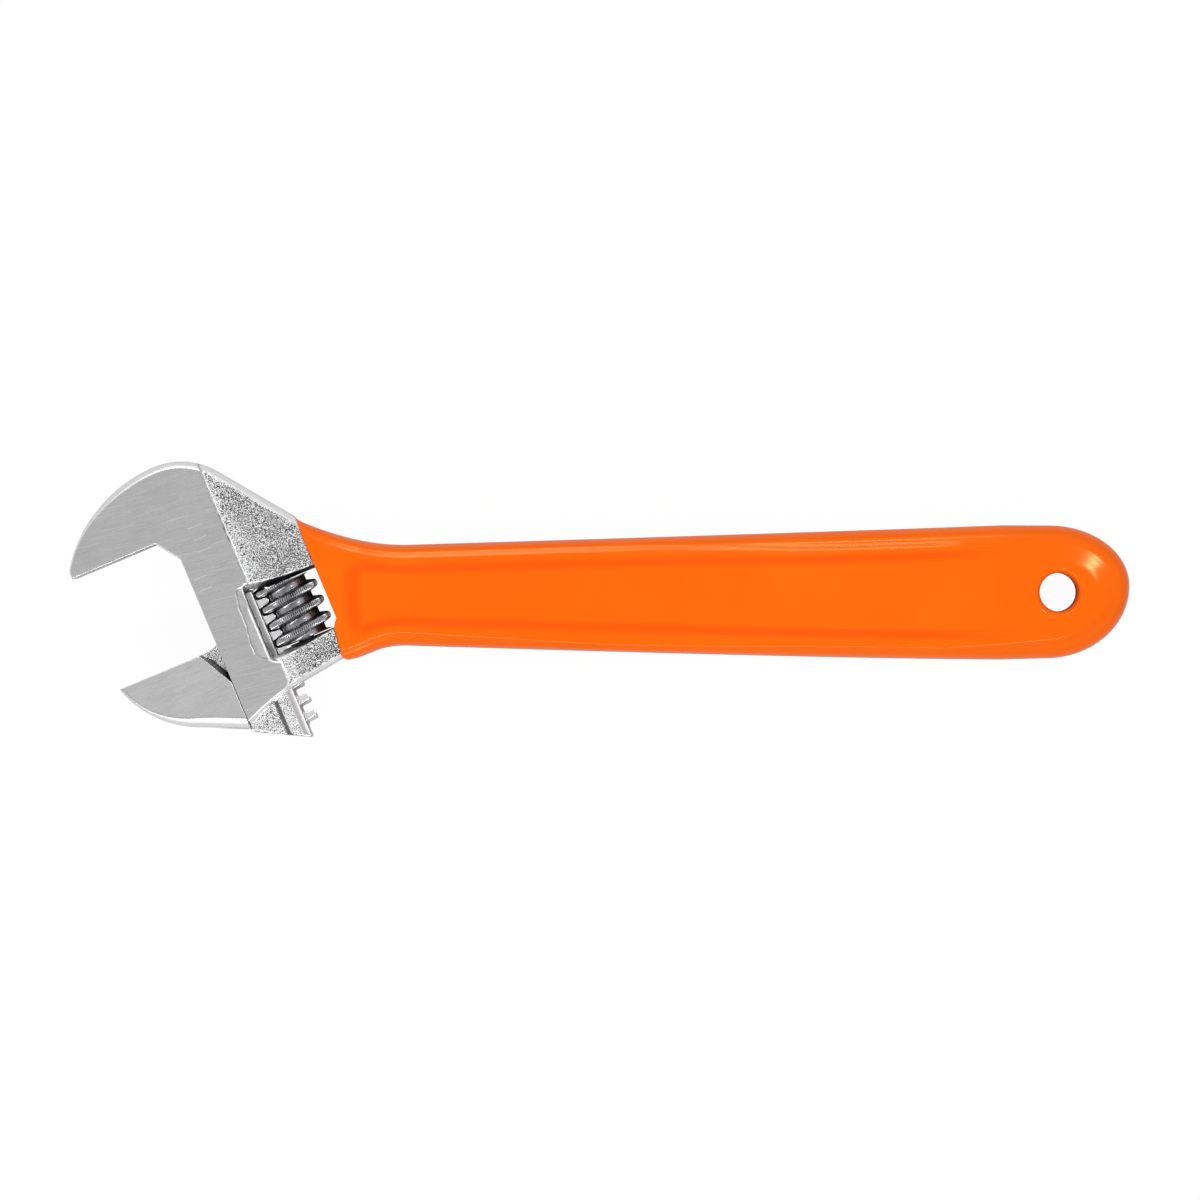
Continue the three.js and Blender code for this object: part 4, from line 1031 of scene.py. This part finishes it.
def make_grip():
    """The grip as two mirrored height fields on one plan grid, closed at the flanks, the lead and the hole.

    The leading edge is closed by three rows on each side: the skin's first row, a rounded row just before it,
    and a row set in behind it.
    """
    stations, across, rings = 300, 81, 34
    plan = grip_stations(stations, across)
    ring = grip_rings(plan[-1], rings)
    ring_start, round_hole = stations * across, ring.shape[1]
    flat = np.concatenate([plan.reshape(-1, 2), ring.reshape(-1, 2)])
    height, slope = grip_height(flat)
    height[:ring_start].reshape(stations, across)[:, [0, -1]] = 0.0
    height[ring_start:].reshape(rings, round_hole)[-1, across:] = 0.0

    top = np.concatenate([flat, height[:, None]], axis=1)
    rounded, inset = top[:across].copy(), top[:across].copy()
    rounded[:, :2] -= LEAD_ROUND[0] * along[:2]
    from_corner = smoothstep(0.02, 0.14, np.linspace(0.0, 1.0, across))
    inset[:, :2] += LEAD_INSET[0] * from_corner[:, None] * along[:2]
    for row, (_, drop) in ((rounded, LEAD_ROUND), (inset, LEAD_INSET)):
        row[:, 2] = np.maximum(row[:, 2] - drop, 0.0)
    mirrored = [1, 1, -1]
    points = np.concatenate([top, top * mirrored, rounded, inset, rounded * mirrored, inset * mirrored])

    count, lead = len(flat), np.arange(across)
    skin = np.concatenate([
        grid_faces(stations, across), grid_faces(rings, round_hole, ring_start, wrap=True)
    ])
    hole = ring_start + np.append(np.arange(round_hole), 0)
    rows = [lead, 2 * count + lead, 2 * count + across + lead]
    rows_under = [count + lead, 2 * count + 2 * across + lead, 2 * count + 3 * across + lead]
    faces = [skin, skin + count, strip(hole, hole + count)]
    for first, second, third in (rows, rows_under):
        faces += [strip(first, second), strip(second, third)]
    faces.append(strip(rows[2], rows_under[2]))
    slope = np.concatenate([slope, slope, np.zeros(4 * across)])
    mesh = mesh_of("vinyl_grip", handle_to_row(points), np.concatenate(faces).tolist(), slope=slope)
    new_piece(mesh, VINYL, "handle_assembly", "grip")


make_body()
make_jaw()
make_worm()
make_screw()
make_spring()
make_grip()


# -------- bench and light
def bench():
    """A pale level bench. To the camera it is nearly white, and it keeps the wrench's soft shadow."""
    mesh = bpy.data.meshes.new("bench")
    half_m = 3.0
    corners = [(-half_m, -half_m, 0), (half_m, -half_m, 0), (half_m, half_m, 0), (-half_m, half_m, 0)]
    mesh.from_pydata(corners, [], [(0, 1, 2, 3)])
    floor = add_object("bench", mesh)
    material = bpy.data.materials.new("bench_white")
    material.use_nodes = True
    nodes = Nodes(material.node_tree)
    paint = nodes.node("ShaderNodeBsdfDiffuse", {"Color": (0.55, 0.55, 0.55)})
    glow = nodes.node("ShaderNodeEmission", {"Color": (1.0, 1.0, 1.0), "Strength": 1.035})
    surface = material.node_tree.nodes["Material Output"].inputs["Surface"]
    nodes.feed(surface, nodes.camera_mix(paint, glow, 0.93))
    mesh.materials.append(material)


def softbox(name, place, aim, size, power):
    """A rectangular lamp at place, in mm from the middle of the view, that faces aim."""
    lamp = configured(bpy.data.lights.new(name, "AREA"), shape="RECTANGLE", energy=power)
    lamp.size, lamp.size_y = (side * MM for side in size)
    box = configured(add_object(name, lamp), location=Vector(place) * MM, rotation_mode="QUATERNION")
    box.rotation_quaternion = (Vector(aim) * MM - box.location).to_track_quat("-Z", "Y")


def studio():
    """Soft even surroundings, dimmer straight above and white to the camera, with four softboxes.

    The far strip and the streak lamp light the grip's upper flank, the near strip its lower one, and the end
    lamp the rounded end.
    """
    world = bpy.data.worlds.new("studio")
    bpy.context.scene.world = world
    world.use_nodes = True
    nodes = Nodes(world.node_tree)
    way = nodes.node("ShaderNodeTexCoord", {}, "Generated")
    height = nodes.node("ShaderNodeSeparateXYZ", {0: way}, "Z")
    grey = nodes.curve(height, (0.0, 0.30), (0.22, 0.95), (0.7, 0.85), (0.97, 0.60))
    around = nodes.node("ShaderNodeBackground", {"Color": grey})
    backdrop = nodes.node("ShaderNodeBackground", {"Color": (1.0, 1.0, 1.0)})
    surface = world.node_tree.nodes["World Output"].inputs["Surface"]
    nodes.feed(surface, nodes.camera_mix(around, backdrop, 1.0))
    softbox("strip_far", (-165, 620, 420), (-165, 0, 0), (340, 110), 1.15)
    softbox("streak_lamp", (80, 620, 425), (80, 0, 0), (68, 75), 0.25)
    softbox("strip_near", (-40, -520, 540), (-20, 0, 0), (700, 40), 2.2)
    softbox("end_lamp", (327, 217, 643), (115, 5, 0), (45, 45), 0.6)


bench()
studio()

bpy.context.view_layer.update()
